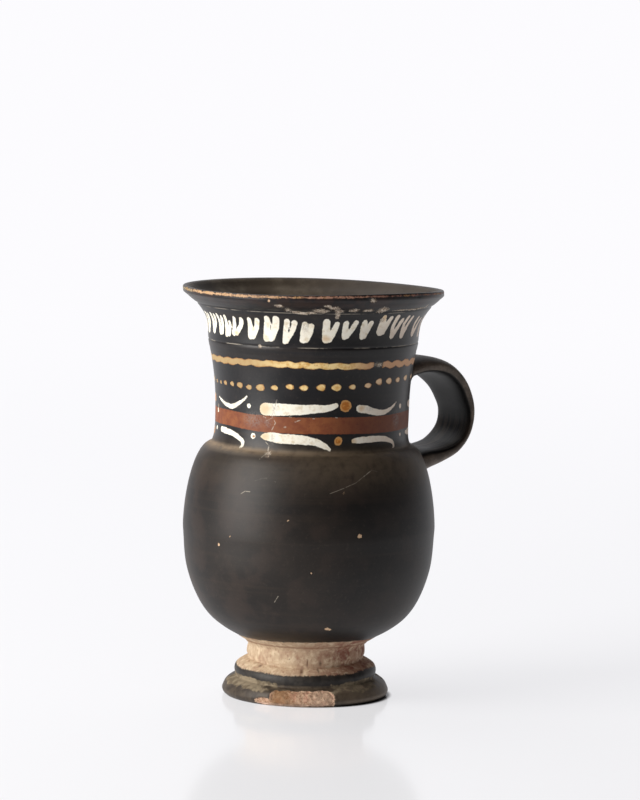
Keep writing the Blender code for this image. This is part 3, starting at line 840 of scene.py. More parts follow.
def yellow_line_depth(front, level):
    """How far inside the yellow wavy line each place lies."""
    along = np.where(front > ORNAMENT_END + 20.0, front - 360.0, front)
    turn = np.radians(along)
    drift = 0.14 * np.cos(turn * 2.3 + 0.9) + 0.10 * np.cos(turn * 5.0 + 2.0)
    uneven = along + 1.1 * np.sin(turn * 7.0 + 0.5)
    above = np.abs(np.sin(math.pi * (uneven - UPPER_NOTCH) / SWELLING))
    below = np.abs(np.sin(math.pi * (uneven - LOWER_NOTCH) / SWELLING))
    right = ease(along, 30.0, 55.0)
    top = UPPER_EDGE + drift - 0.20 * right + SWELL * (0.85 + 0.6 * right) * above
    bottom = LOWER_EDGE + drift + 0.20 * right - SWELL * (0.85 + 0.6 * right) * below
    end = np.minimum(ORNAMENT_END - along, along - ORNAMENT_START) * np.radians(1.0) * 34.0
    gap = (np.abs(along - LINE_GAP[0]) - LINE_GAP[1]) * np.radians(1.0) * 34.0
    return np.minimum(np.minimum(top - level, level - bottom), np.minimum(end, gap))


def yellow_dots(rng):
    """The row of dots, carried on round the hidden side."""
    dots = list(DOTS) + list(DOT_CENTRES)
    dots += [(90.5, 110.0, 1.4, 1.1), (99.0, 109.8, 1.3, 1.1)]
    place = -83.0
    while place > ORNAMENT_START + 3.0:
        size = rng.uniform(1.2, 1.7)
        dots.append((place, 108.2 + rng.uniform(-0.3, 0.5), size, size * 0.8))
        place -= rng.uniform(8.0, 9.6)
    return dots


def wedge_depth(front, level, radius, middle, height, half_wide, half_high):
    """How far inside a dot that narrows towards the left each place lies, in millimetres."""
    across = wrap(front - middle) * np.radians(1.0) * radius / half_wide
    narrowing = np.clip(0.80 + 0.28 * across, 0.45, 1.1)
    along = (level - height) / (half_high * narrowing)
    return (1.0 - np.hypot(across, along)) * half_high


def yellow_depth(front, level, radius, rng):
    """How far inside the yellow paint each place lies."""
    depth = yellow_line_depth(front, level)
    for dot in yellow_dots(rng):
        depth = np.maximum(depth, wedge_depth(front, level, radius, *dot))
    return depth


def ringed_depth(front, level, radius):
    """How far inside the ringed orange dots each place lies."""
    dots = list(RINGED_DOTS) + [(-82.5, 101.8, 1.5), (-83.0, 90.6, 1.3), (-178.5, 101.8, 1.9), (-178.0, 90.6, 1.4)]
    depth = np.full(front.shape, -9.0)
    for middle, height, size in dots:
        depth = np.maximum(depth, disc_depth(front, level, radius, middle, height, size))
    return depth


def red_depth(front, level):
    """How far inside the red band each place lies."""
    along = np.where(front > ORNAMENT_END + 20.0, front - 360.0, front)
    turn = np.radians(along)
    top = 98.30 + 0.4 * ease(along, 20.0, 75.0) + 0.60 * ease(-along, 35.0, 65.0) + 0.10 * np.sin(turn * 6.0)
    bottom = 92.75 + 0.80 * ease(-along, 20.0, 60.0) + 0.10 * np.sin(turn * 5.0 + 1.0)
    end = np.minimum(ORNAMENT_END + 1.0 - along, along - ORNAMENT_START + 1.0) * np.radians(1.0) * 33.0
    return np.minimum(np.minimum(top - level, level - bottom), end)


def blob_amount(front, level, radius, blobs):
    """How strong a few soft oval patches are at each place, from 0 to 1."""
    amount = np.zeros(front.shape)
    for middle, height, half_wide, half_high in blobs:
        across = wrap(front - middle) * np.radians(1.0) * radius / half_wide
        blob = 1.25 - np.hypot(across, (level - height) / half_high) * 0.75
        amount = np.maximum(amount, np.clip(blob, 0.0, 1.0))
    return amount


def dust_and_painted_light_amount(front, level):
    """How much brown dust has gathered in the neck angle and on the shoulder; on the shoulder it lies thicker on the
    right than the left, so its pale colour is also painted light on the shaded side.
    """
    left = ease(-front, -20.0, 60.0)
    right = ease(front, -30.0, 40.0) * (1.0 - ease(front, 80.0, 110.0))
    angle = np.exp(-((level - 86.4) / 1.0) ** 2) * (0.45 + 0.35 * left)
    slope = ease(level, 70.0, 85.5) * (1.0 - ease(level, 86.0, 88.5))
    # More on the shoulder's right than its left: real dust, and painted light on the side away from the lamp
    angle = np.maximum(angle, (0.07 + 0.24 * right) * slope)
    return np.maximum(angle, 0.16 * (1.0 - ease(level, 86.0, 91.0)) * ease(level, 84.0, 86.0))


def silt_amount(front, level):
    """Where lumpy beige silt has gathered in the groove above the foot ring, from 0 to 1."""
    left = ease(front, -98.0, -72.0) * (1.0 - ease(front, -46.0, -10.0))
    right = ease(front, 8.0, 44.0) * (1.0 - ease(front, 62.0, 80.0))
    behind = ease(np.abs(front), 84.0, 100.0) * (0.5 + 0.5 * np.sin(5.0 * np.radians(front)))
    window = ease(level, 3.4, 5.6) * (1.0 - ease(level, 7.4, 8.6))
    return window * np.maximum(np.maximum(left, right), behind)


def bare_depth(front, level):
    """How far inside the bare clay of the stem each place lies."""
    turn = np.radians(front)
    top = 20.9 + 0.7 * np.maximum(np.cos(turn), 0.0) + 0.2 * np.sin(3.0 * turn + 0.5)
    bottom = 10.6 + 0.25 * np.sin(2.0 * turn + 1.0) + 0.15 * np.sin(7.0 * turn)
    return np.minimum(top - level, level - bottom)


def lip_depth(front, level):
    """How far inside the worn line on the lip's upper edge each place lies."""
    wide = 0.24 + 0.16 * ease(-front, -20.0, 60.0)
    return wide - np.abs(level - 139.3)


def skin_radius(level):
    """The outside's radius at a height, both in millimetres, from the lip to the table."""
    outline = np.array(lip_outline() + upper_outline()[1:] + body_outline()[1:] + foot_outline())[::-1] / MM
    return np.interp(level, outline[:, 1], outline[:, 0]) + along_form(FORM_TRIM, level)


def store(mesh, name, values):
    """Keeps one number at each of the mesh's points for the material to read."""
    layer = mesh.attributes.new(name, "FLOAT", "POINT")
    layer.data.foreach_set("value", np.asarray(values, dtype=np.float32))


def facing_loop(mesh, points):
    """How squarely each place of the strap faces the middle of the loop, from 0 to 1."""
    normals = np.zeros(len(mesh.vertices) * 3, dtype=np.float32)
    mesh.vertices.foreach_get("normal", normals)
    normals = normals.reshape(-1, 3).astype(float)
    inwards = np.array([LOOP_MIDDLE[0], 0.0, LOOP_MIDDLE[1]]) - points * np.array([1.0, 0.0, 1.0])
    inwards /= np.linalg.norm(inwards, axis=1)[:, None]
    return ease(np.sum(normals * inwards, axis=1), 0.45, 0.80)


def mark_surface(mesh):
    """Works out where paint, bare clay, crust, dust and painted light and shade lie, and keeps it in the mesh."""
    rng = np.random.default_rng(7)
    points = np.zeros(len(mesh.vertices) * 3, dtype=np.float32)
    mesh.vertices.foreach_get("co", points)
    points = points.reshape(-1, 3).astype(float)
    share = along_form(FORM_STAND, points[:, 2] / MM) * MM
    x = points[:, 0] - AXIS - share * VIEW_RIGHT.x
    y = points[:, 1] - share * VIEW_RIGHT.y
    level = points[:, 2] / MM
    radius = np.hypot(x, y) / MM
    front = wrap(np.degrees(np.arctan2(y, x)) - FRONT_AZIMUTH)
    thrown = unwarped(front, level)
    skin = skin_radius(thrown)
    outer = np.abs(radius - skin) < 0.9
    outer |= thrown > 139.2
    outer |= (level < 21.5) & (radius > 18.0)
    off = -9.0
    store(mesh, "white_depth", np.where(outer, white_depth(front, level, radius, rng), off))
    store(mesh, "yellow_depth", np.where(outer, yellow_depth(front, level, radius, rng), off))
    store(mesh, "ringed_depth", np.where(outer, ringed_depth(front, level, radius), off))
    store(mesh, "red_depth", np.where(outer, red_depth(front, level), off))
    store(mesh, "bare_depth", np.where(outer, bare_depth(front, thrown), off))
    store(mesh, "chip_depth", np.where(outer & (level < 8.0), foot_chip(front, thrown), off))
    store(mesh, "lip_depth", np.where(outer & (radius > 42.0), lip_depth(front, thrown), off))
    store(mesh, "crust", np.where(outer, blob_amount(front, level, radius, CRUSTS), 0.0))
    store(mesh, "cream", np.where(outer, blob_amount(front, level, radius, CREAM_PATCHES), 0.0))
    store(mesh, "rubbed", np.where(outer, blob_amount(front, level, radius, GREY_PATCHES), 0.0))
    pits = [pit[:4] for pit in STEM_PITS]
    store(mesh, "pits", np.where(outer, blob_amount(front, thrown, radius, pits), 0.0))
    store(mesh, "dust_and_painted_light", np.where(outer, dust_and_painted_light_amount(front, level), 0.0))
    store(mesh, "silt", np.where(outer, silt_amount(front, thrown), 0.0))
    store(mesh, "inside", np.where((radius < skin - 0.9) & (level > 18.0) & (radius < 43.0), 1.0, 0.0))
    store(mesh, "side", np.sin(np.radians(front)))
    store(mesh, "thrown_level", np.where(outer, thrown, 0.0))
    strap = np.where(radius > skin + 0.9, ease(radius - skin, 0.9, 2.5), 0.0)
    store(mesh, "handle", strap)
    store(mesh, "loop", strap * facing_loop(mesh, points))


# --- Material ------------------------------------------------------------------------------------


def add(tree, kind, inputs=None, **settings):
    """A new node with settings and inputs, each input being a value or another node's output."""
    item = tree.nodes.new(kind)
    for name, value in settings.items():
        setattr(item, name, value)
    for name, value in (inputs or {}).items():
        if isinstance(value, bpy.types.NodeSocket):
            tree.links.new(value, item.inputs[name])
        else:
            item.inputs[name].default_value = value
    return item


def read(tree, name):
    """A number kept at the mesh's points."""
    return add(tree, "ShaderNodeAttribute", attribute_name=name).outputs["Fac"]


def maths(tree, operation, first, second=0.0):
    """The outcome of one sum on two numbers."""
    return add(tree, "ShaderNodeMath", {0: first, 1: second}, operation=operation).outputs[0]


def step(tree, value, low, high):
    """A smooth step from 0 at low to 1 at high."""
    inputs = {"Value": value, "From Min": low, "From Max": high}
    return add(tree, "ShaderNodeMapRange", inputs, interpolation_type="SMOOTHSTEP").outputs["Result"]


def remap(tree, value, low, high, to_low, to_high):
    """A value carried evenly from one range to another."""
    inputs = {"Value": value, "From Min": low, "From Max": high, "To Min": to_low, "To Max": to_high}
    return add(tree, "ShaderNodeMapRange", inputs).outputs["Result"]


def blend(tree, factor, first, second):
    """Two colours mixed."""
    item = add(tree, "ShaderNodeMix", data_type="RGBA", clamp_factor=True)
    for index, value in ((0, factor), (6, first), (7, second)):
        if isinstance(value, bpy.types.NodeSocket):
            tree.links.new(value, item.inputs[index])
        else:
            item.inputs[index].default_value = value
    return item.outputs[2]


def mix(tree, factor, first, second):
    """Two numbers mixed."""
    item = add(tree, "ShaderNodeMix", data_type="FLOAT", clamp_factor=True)
    for index, value in ((0, factor), (2, first), (3, second)):
        if isinstance(value, bpy.types.NodeSocket):
            tree.links.new(value, item.inputs[index])
        else:
            item.inputs[index].default_value = value
    return item.outputs[0]


def stretched(tree, scale):
    """Object coordinates in millimetres, stretched by scale along each axis."""
    place = add(tree, "ShaderNodeTexCoord").outputs["Object"]
    scaled = [value / MM for value in scale]
    return add(tree, "ShaderNodeVectorMath", {0: place, 1: scaled}, operation="MULTIPLY").outputs["Vector"]


def clouds(tree, place, scale, detail=3.0, roughness=0.55):
    """Soft noise from 0 to 1, scale being bumps per millimetre."""
    inputs = {"Vector": place, "Scale": scale, "Detail": detail, "Roughness": roughness}
    return add(tree, "ShaderNodeTexNoise", inputs).outputs["Fac"]


def slip_colour(tree, place):
    """Black slip: bluer on the neck, browner on body and handle, worn brown on the foot ring, with soft patches;
    painted shade on the right, painted shade and light across the foot ring, a painted contact shadow at its lower
    edge, and a torus lightened partly as a painted highlight.
    """
    height = add(tree, "ShaderNodeSeparateXYZ", {0: place}).outputs["Z"]
    side = read(tree, "side")
    on_neck = step(tree, height, 85.5, 88.5)
    body = blend(tree, step(tree, clouds(tree, place, 0.045), 0.35, 0.70), srgb(24, 19, 16), srgb(38, 31, 26))
    mottles = maths(tree, "MULTIPLY", step(tree, clouds(tree, place, 0.10, 4.0, 0.6), 0.46, 0.62), 0.55)
    body = blend(tree, mottles, body, srgb(50, 39, 33))
    neck = blend(tree, step(tree, clouds(tree, place, 0.12), 0.40, 0.70), srgb(17, 16, 19), srgb(30, 27, 28))
    colour = blend(tree, on_neck, body, neck)
    wheel = clouds(tree, stretched(tree, (0.012, 0.012, 0.55)), 1.0, 2.0)
    colour = blend(tree, maths(tree, "MULTIPLY", step(tree, wheel, 0.50, 0.80), 0.4), colour, srgb(50, 40, 32))
    # Darker towards the right on the neck and lower body: a painted shade on the side away from the lamp
    upright = maths(tree, "MAXIMUM", step(tree, height, 80.0, 66.0), on_neck)
    painted_shade = maths(tree, "MULTIPLY", maths(tree, "MULTIPLY", step(tree, side, -0.05, 0.40), 0.45), upright)
    colour = blend(tree, painted_shade, colour, srgb(12, 9, 8))
    fine = clouds(tree, place, 0.9, 4.0)
    colour = blend(tree, maths(tree, "MULTIPLY", step(tree, fine, 0.56, 0.74), 0.26), colour, srgb(62, 53, 45))
    reddish = maths(tree, "MULTIPLY", step(tree, height, 134.2, 136.5), step(tree, clouds(tree, place, 0.25), 0.36, 0.58))
    colour = blend(tree, maths(tree, "MULTIPLY", reddish, 0.65), colour, srgb(50, 34, 29))
    colour = blend(tree, read(tree, "handle"), colour, strap_colour(tree, place, height))
    foot = blend(tree, step(tree, clouds(tree, place, 0.4, 5.0, 0.6), 0.38, 0.62), srgb(62, 52, 43), srgb(88, 76, 62))
    # Darker on the left and lighter on the right: painted shade and painted light that even out the lamp's fall-off
    # across the foot ring
    foot = blend(tree, maths(tree, "MULTIPLY", step(tree, side, -0.25, -0.60), 0.35), foot, srgb(40, 33, 28))
    foot = blend(tree, maths(tree, "MULTIPLY", step(tree, side, 0.30, 0.60), 0.50), foot, srgb(124, 108, 90))
    # Near black along the foot ring's lower edge towards the right: a painted contact shadow
    edge = maths(tree, "MULTIPLY", step(tree, height, 1.4, 0.5), step(tree, side, -0.25, 0.20))
    foot = blend(tree, maths(tree, "MULTIPLY", edge, 0.9), foot, srgb(14, 12, 11))
    # The torus is lighter and greyer than the black slip: partly its greyer slip, partly a painted highlight
    torus = blend(tree, step(tree, clouds(tree, place, 0.35, 4.0, 0.6), 0.38, 0.62), srgb(34, 30, 27), srgb(52, 47, 42))
    colour = blend(tree, step(tree, height, 13.0, 12.0), colour, torus)
    on_foot = step(tree, height, 6.9, 6.3)
    return blend(tree, on_foot, colour, foot)


def strap_colour(tree, place, height):
    """The handle's slip: worn brown outside, and inside the loop black slip darkened to near black as a painted shade
    where the neck shades it, with paler streaks near its lower root.
    """
    colour = blend(tree, step(tree, clouds(tree, place, 0.22, 4.0, 0.65), 0.40, 0.68), srgb(82, 72, 63), srgb(113, 100, 88))
    fibres = clouds(tree, stretched(tree, (0.10, 1.0, 0.10)), 0.9, 4.0, 0.6)
    colour = blend(tree, maths(tree, "MULTIPLY", step(tree, fibres, 0.52, 0.66), 0.45), colour, srgb(88, 72, 60))
    # Inside the loop the black slip is darkened beyond the slip elsewhere: a painted shade where the neck shades the
    # strap
    inner = blend(tree, step(tree, clouds(tree, place, 0.30, 4.0, 0.65), 0.45, 0.65), srgb(5, 4, 4), srgb(17, 13, 14))
    low = maths(tree, "MULTIPLY", step(tree, height, 96.0, 87.0), step(tree, fibres, 0.42, 0.62))
    inner = blend(tree, maths(tree, "MULTIPLY", low, 0.8), inner, srgb(82, 70, 60))
    return blend(tree, read(tree, "loop"), colour, inner)


def edge_of(tree, depth, noises, softness, raggedness):
    """1 where a depth, made uneven by a fine and a coarse noise, is above 0."""
    for noise_value, amount in zip(noises, raggedness):
        centred = maths(tree, "SUBTRACT", noise_value, 0.5)
        depth = maths(tree, "ADD", depth, maths(tree, "MULTIPLY", centred, amount))
    return step(tree, depth, -softness, softness)


def white_colour(tree, place):
    """Chalky white paint with a few cream patches and brown specks, thinner towards the right."""
    patches = clouds(tree, place, 0.55, 3.0)
    colour = blend(tree, step(tree, patches, 0.45, 0.78), srgb(250, 244, 228), srgb(226, 212, 184))
    specks = step(tree, clouds(tree, place, 1.5, 2.0), 0.68, 0.76)
    colour = blend(tree, maths(tree, "MULTIPLY", specks, 0.7), colour, srgb(146, 104, 70))
    colour = blend(tree, step(tree, read(tree, "side"), 0.30, 1.0), colour, srgb(232, 212, 194))
    return blend(tree, maths(tree, "MULTIPLY", read(tree, "cream"), 0.8), colour, srgb(218, 184, 136))


def yellow_colour(tree, place):
    """Yellow ochre paint, darker at its edges and more orange towards both sides."""
    patches = clouds(tree, place, 0.5, 3.0)
    colour = blend(tree, step(tree, patches, 0.42, 0.70), srgb(240, 212, 150), srgb(214, 166, 92))
    left = step(tree, read(tree, "side"), -0.15, -0.70)
    colour = blend(tree, maths(tree, "MULTIPLY", left, 0.9), colour, srgb(166, 138, 96))
    height = add(tree, "ShaderNodeSeparateXYZ", {0: place}).outputs["Z"]
    right = blend(tree, step(tree, height, 112.0, 114.0), srgb(238, 202, 162), srgb(208, 160, 120))
    colour = blend(tree, step(tree, read(tree, "side"), 0.26, 0.62), colour, right)
    rim = step(tree, read(tree, "yellow_depth"), 0.30, 0.02)
    colour = blend(tree, maths(tree, "MULTIPLY", rim, 0.75), colour, srgb(150, 96, 44))
    specks = step(tree, clouds(tree, place, 1.3, 2.0), 0.66, 0.74)
    return blend(tree, maths(tree, "MULTIPLY", specks, 0.6), colour, srgb(128, 78, 44))


def ringed_colour(tree, place):
    """Orange-brown paint inside a tan rim."""
    patches = clouds(tree, place, 0.8, 3.0)
    colour = blend(tree, step(tree, patches, 0.44, 0.66), srgb(172, 102, 32), srgb(200, 140, 66))
    rim = step(tree, read(tree, "ringed_depth"), 0.70, 0.25)
    return blend(tree, maths(tree, "MULTIPLY", rim, 0.8), colour, srgb(198, 150, 92))


def red_colour(tree, place):
    """Matt brown-red paint, thin in places, with a painted shade towards the right."""
    patches = clouds(tree, place, 0.35, 4.0)
    colour = blend(tree, step(tree, patches, 0.30, 0.70), srgb(118, 60, 34), srgb(138, 80, 44))
    # Darker towards the right: a painted shade on the side away from the lamp
    painted_shade = maths(tree, "MULTIPLY", step(tree, read(tree, "side"), 0.05, 0.50), 0.55)
    colour = blend(tree, painted_shade, colour, srgb(92, 43, 24))
    worn = step(tree, clouds(tree, place, 1.6, 3.0), 0.62, 0.72)
    return blend(tree, maths(tree, "MULTIPLY", worn, 0.5), colour, srgb(66, 40, 32))


def clay_colour(tree, place):
    """Bare fired clay: cream-buff to pinkish brown with red-brown stains and faint vertical streaks."""
    side = read(tree, "side")
    colour = blend(tree, step(tree, side, -0.6, 0.8), srgb(194, 170, 141), srgb(170, 137, 114))
    streaks = clouds(tree, stretched(tree, (1.0, 1.0, 0.3)), 0.9, 5.0, 0.6)
    colour = blend(tree, maths(tree, "MULTIPLY", step(tree, streaks, 0.48, 0.72), 0.75), colour, srgb(150, 108, 84))
    pale = clouds(tree, place, 0.5, 4.0)
    colour = blend(tree, maths(tree, "MULTIPLY", step(tree, pale, 0.46, 0.64), 0.6), colour, srgb(222, 203, 172))
    grit = step(tree, clouds(tree, place, 1.1, 3.0), 0.66, 0.74)
    pits = maths(tree, "MAXIMUM", maths(tree, "MULTIPLY", grit, 0.55), maths(tree, "MULTIPLY", read(tree, "pits"), 0.8))
    colour = blend(tree, pits, colour, srgb(86, 64, 48))
    stain = clouds(tree, place, 0.28, 5.0, 0.65)
    where = remap(tree, step(tree, side, 0.10, 0.65), 0.0, 1.0, 0.28, 1.0)
    amount = maths(tree, "MULTIPLY", step(tree, stain, 0.46, 0.60), where)
    colour = blend(tree, maths(tree, "MULTIPLY", amount, 0.75), colour, srgb(124, 68, 54))
    under = maths(tree, "SUBTRACT", read(tree, "thrown_level"), STEM_GROOVE[0])
    under = step(tree, maths(tree, "ABSOLUTE", under), 0.55, 0.10)
    return blend(tree, maths(tree, "MULTIPLY", under, 0.6), colour, srgb(128, 86, 62))


def lip_colour(tree, place):
    """Worn lip edge: ochre at the left, pinkish brown towards the right."""
    side = read(tree, "side")
    colour = blend(tree, step(tree, side, -0.55, 0.1), srgb(196, 158, 120), srgb(172, 128, 106))
    colour = blend(tree, step(tree, side, -0.86, -0.96), colour, srgb(134, 126, 104))
    colour = blend(tree, step(tree, side, 0.2, 0.8), colour, srgb(150, 104, 90))
    ochre = step(tree, clouds(tree, place, 0.16, 2.0), 0.52, 0.64)
    colour = blend(tree, maths(tree, "MULTIPLY", ochre, 0.6), colour, srgb(180, 138, 78))
    gaps = step(tree, clouds(tree, place, 0.8, 4.0, 0.6), 0.48, 0.58)
    return blend(tree, maths(tree, "MULTIPLY", gaps, 0.7), colour, srgb(92, 66, 54))


def chip_colour(tree, place):
    """Broken clay: rough tan with pale, pink and ochre grains."""
    grains = clouds(tree, place, 0.85, 6.0, 0.78)
    colour = blend(tree, step(tree, grains, 0.36, 0.64), srgb(140, 98, 74), srgb(218, 184, 154))
    pink = step(tree, clouds(tree, place, 0.45, 3.0), 0.48, 0.62)
    colour = blend(tree, maths(tree, "MULTIPLY", pink, 0.45), colour, srgb(198, 146, 124))
    side = read(tree, "side")
    ochre = maths(tree, "MULTIPLY", step(tree, side, 0.0, -0.30), step(tree, side, -0.46, -0.36))
    colour = blend(tree, maths(tree, "MULTIPLY", ochre, 0.75), colour, srgb(124, 88, 50))
    colour = blend(tree, maths(tree, "MULTIPLY", step(tree, side, 0.02, 0.16), 0.30), colour, srgb(232, 202, 174))
    dark = step(tree, clouds(tree, place, 1.5, 3.0), 0.62, 0.72)
    colour = blend(tree, maths(tree, "MULTIPLY", dark, 0.5), colour, srgb(92, 62, 46))
    height = add(tree, "ShaderNodeSeparateXYZ", {0: place}).outputs["Z"]
    return blend(tree, maths(tree, "MULTIPLY", step(tree, height, 1.1, 0.4), 0.5), colour, srgb(214, 186, 168))


def inside_colour(tree, place):
    """Thin brown slip inside, worn in cloudy patches, darker towards the right as a painted shade."""
    patches = clouds(tree, place, 0.10, 4.0, 0.6)
    colour = blend(tree, step(tree, patches, 0.38, 0.64), srgb(84, 73, 60), srgb(116, 104, 88))
    # Darker towards the right: a painted shade that evens out the lamp's light on that inner wall
    right = step(tree, read(tree, "side"), -0.45, 0.55)
    return blend(tree, maths(tree, "MULTIPLY", right, 0.85), colour, srgb(62, 54, 47))


def skin_point(front, level):
    """A place on the vessel's outside in millimetres, in the row frame."""
    radius = float(skin_radius(level))
    turn = math.radians(front + FRONT_AZIMUTH)
    share = float(along_form(FORM_STAND, level))
    x = AXIS / MM + radius * math.cos(turn) + share * VIEW_RIGHT.x
    return Vector((x, radius * math.sin(turn) + share * VIEW_RIGHT.y, level + float(warp(front, level))))


def line_cover(tree, place, scratch):
    """1 on a fine scratch and 0 beside it."""
    first, second = skin_point(*scratch[0:2]), skin_point(*scratch[2:4])
    run = second - first
    away = add(tree, "ShaderNodeVectorMath", {0: place, 1: tuple(first)}, operation="SUBTRACT").outputs["Vector"]
    inputs = {0: away, 1: tuple(run / run.length_squared)}
    share = add(tree, "ShaderNodeVectorMath", inputs, operation="DOT_PRODUCT").outputs["Value"]
    share = add(tree, "ShaderNodeClamp", {"Value": share}).outputs["Result"]
    inputs = {0: tuple(run), "Scale": share}
    foot = add(tree, "ShaderNodeVectorMath", inputs, operation="SCALE").outputs["Vector"]
    gap = add(tree, "ShaderNodeVectorMath", {0: away, 1: foot}, operation="DISTANCE").outputs["Value"]
    return maths(tree, "MULTIPLY", step(tree, gap, scratch[4] * 1.5, scratch[4] * 0.5), scratch[5])


def scratches(tree, place):
    """All fine scratches together, broken up a little along their length."""
    cover = 0.0
    for scratch in SCRATCHES:
        cover = maths(tree, "MAXIMUM", cover, line_cover(tree, place, scratch))
    return maths(tree, "MULTIPLY", cover, step(tree, clouds(tree, place, 1.1, 2.0), 0.30, 0.52))


def specks(tree, place, grain):
    """1 in the small knocks that show the clay."""
    cover = 0.0
    for front, level, size in SPECKS:
        inputs = {0: place, 1: tuple(skin_point(front, level))}
        gap = add(tree, "ShaderNodeVectorMath", inputs, operation="DISTANCE").outputs["Value"]
        depth = maths(tree, "SUBTRACT", size, gap)
        cover = maths(tree, "MAXIMUM", cover, edge_of(tree, depth, (grain,), 0.10, (1.2,)))
    return cover


def pale_groove_line(tree, level, half, strength):
    """A thin broken pale line round the pot along an incised line's edge."""
    gap = maths(tree, "ABSOLUTE", maths(tree, "SUBTRACT", read(tree, "thrown_level"), level))
    broken = step(tree, clouds(tree, stretched(tree, (1.0, 1.0, 0.2)), 0.16, 3.0, 0.6), 0.44, 0.60)
    return maths(tree, "MULTIPLY", maths(tree, "MULTIPLY", step(tree, gap, half, half * 0.3), broken), strength)


def painted_clay():
    """The one material of the olpe: slip, paint, bare clay, crust and dust over each other, with painted shade, light
    and highlights.
    """
    material = bpy.data.materials.new("painted_clay")
    material.use_nodes = True
    tree = material.node_tree
    shader = tree.nodes["Principled BSDF"]
    shader.inputs["Specular IOR Level"].default_value = 0.34
    place = stretched(tree, (1.0, 1.0, 1.0))
    grain = clouds(tree, place, 1.7, 4.0)
    fine_grain = clouds(tree, place, 3.5, 4.0)

    lumps = clouds(tree, place, 0.42, 2.0)
    noises = (grain, lumps)

    colour = slip_colour(tree, place)
    gloss = mix(tree, clouds(tree, place, 0.12, 4.0), 0.31, 0.41)
    gloss = mix(tree, step(tree, read(tree, "thrown_level"), 86.0, 80.0), gloss, 0.47)
    gloss = mix(tree, read(tree, "handle"), gloss, 0.56)
    gloss = mix(tree, read(tree, "loop"), gloss, 0.88)
    gloss = mix(tree, step(tree, read(tree, "thrown_level"), 14.0, 12.0), gloss, 0.50)

    inside = maths(tree, "MULTIPLY", read(tree, "inside"), 0.9)
    colour = blend(tree, inside, colour, inside_colour(tree, place))
    gloss = mix(tree, read(tree, "inside"), gloss, 0.6)

    layers = (
        ("red_depth", red_colour(tree, place), 0.10, (0.5, 0.3), 0.55),
        ("white_depth", white_colour(tree, place), 0.09, (0.45, 0.5), 0.60),
        ("yellow_depth", yellow_colour(tree, place), 0.10, (0.45, 0.9), 0.55),
        ("ringed_depth", ringed_colour(tree, place), 0.10, (0.5, 0.8), 0.55),
        ("bare_depth", clay_colour(tree, place), 0.25, (1.1, 0.8), 0.85),
        ("lip_depth", lip_colour(tree, place), 0.12, (1.3, 0.9), 0.70),
        ("chip_depth", chip_colour(tree, place), 0.15, (0.9, 0.4), 0.92),
    )
    for name, layer, softness, raggedness, roughness in layers:
        cover = edge_of(tree, read(tree, name), noises, softness, raggedness)
        colour = blend(tree, cover, colour, layer)
        gloss = mix(tree, cover, gloss, roughness)

    rubbed = maths(tree, "MULTIPLY", read(tree, "rubbed"), step(tree, grain, 0.36, 0.58))
    colour = blend(tree, maths(tree, "MULTIPLY", rubbed, 0.48), colour, srgb(132, 126, 120))

    drifts = maths(tree, "SUBTRACT", clouds(tree, place, 0.30, 3.0, 0.5), 0.5)
    silt = maths(tree, "ADD", read(tree, "silt"), maths(tree, "MULTIPLY", drifts, 2.4))
    silt = maths(tree, "ADD", silt, maths(tree, "MULTIPLY", maths(tree, "SUBTRACT", grain, 0.5), 0.5))
    silt = maths(tree, "MULTIPLY", step(tree, silt, 0.36, 0.70), step(tree, read(tree, "silt"), 0.02, 0.25))
    silt_tone = blend(tree, step(tree, lumps, 0.36, 0.62), srgb(112, 99, 80), srgb(152, 137, 113))
    colour = blend(tree, maths(tree, "MULTIPLY", silt, 0.85), colour, silt_tone)
    gloss = mix(tree, silt, gloss, 0.9)

    # Dust, which on the shoulder's right is also painted light
    dust_and_painted_light = maths(tree, "MULTIPLY", read(tree, "dust_and_painted_light"), step(tree, clouds(tree, place, 0.35, 5.0, 0.65), 0.05, 0.62))
    colour = blend(tree, dust_and_painted_light, colour, srgb(150, 130, 106))
    gloss = mix(tree, dust_and_painted_light, gloss, 0.75)

    crust = maths(tree, "ADD", read(tree, "crust"), maths(tree, "MULTIPLY", maths(tree, "SUBTRACT", fine_grain, 0.5), 1.9))
    crust = maths(tree, "ADD", crust, maths(tree, "MULTIPLY", maths(tree, "SUBTRACT", lumps, 0.5), 1.3))
    crust = maths(tree, "MULTIPLY", step(tree, crust, 0.34, 0.74), step(tree, read(tree, "crust"), 0.02, 0.20))
    crust_tone = blend(tree, step(tree, grain, 0.42, 0.60), srgb(134, 116, 98), srgb(216, 202, 184))
    colour = blend(tree, maths(tree, "MULTIPLY", crust, 0.85), colour, crust_tone)
    gloss = mix(tree, crust, gloss, 0.85)

    # The pale line at 133.35 under the deep upper groove is partly a pale deposit and partly a painted highlight on the
    # groove's lower edge
    lines = maths(tree, "MAXIMUM", pale_groove_line(tree, GROOVES[1][0], 0.24, 0.50), pale_groove_line(tree, 133.35, 0.20, 0.42))
    marks = maths(tree, "MAXIMUM", lines, scratches(tree, place))
    colour = blend(tree, marks, colour, srgb(186, 176, 160))
    knocks = specks(tree, place, grain)
    colour = blend(tree, knocks, colour, srgb(206, 172, 138))
    gloss = mix(tree, maths(tree, "MAXIMUM", marks, knocks), gloss, 0.75)

    tree.links.new(colour, shader.inputs["Base Color"])
    tree.links.new(gloss, shader.inputs["Roughness"])
    tree.links.new(surface_bump(tree, place, grain), shader.inputs["Normal"])
    return material


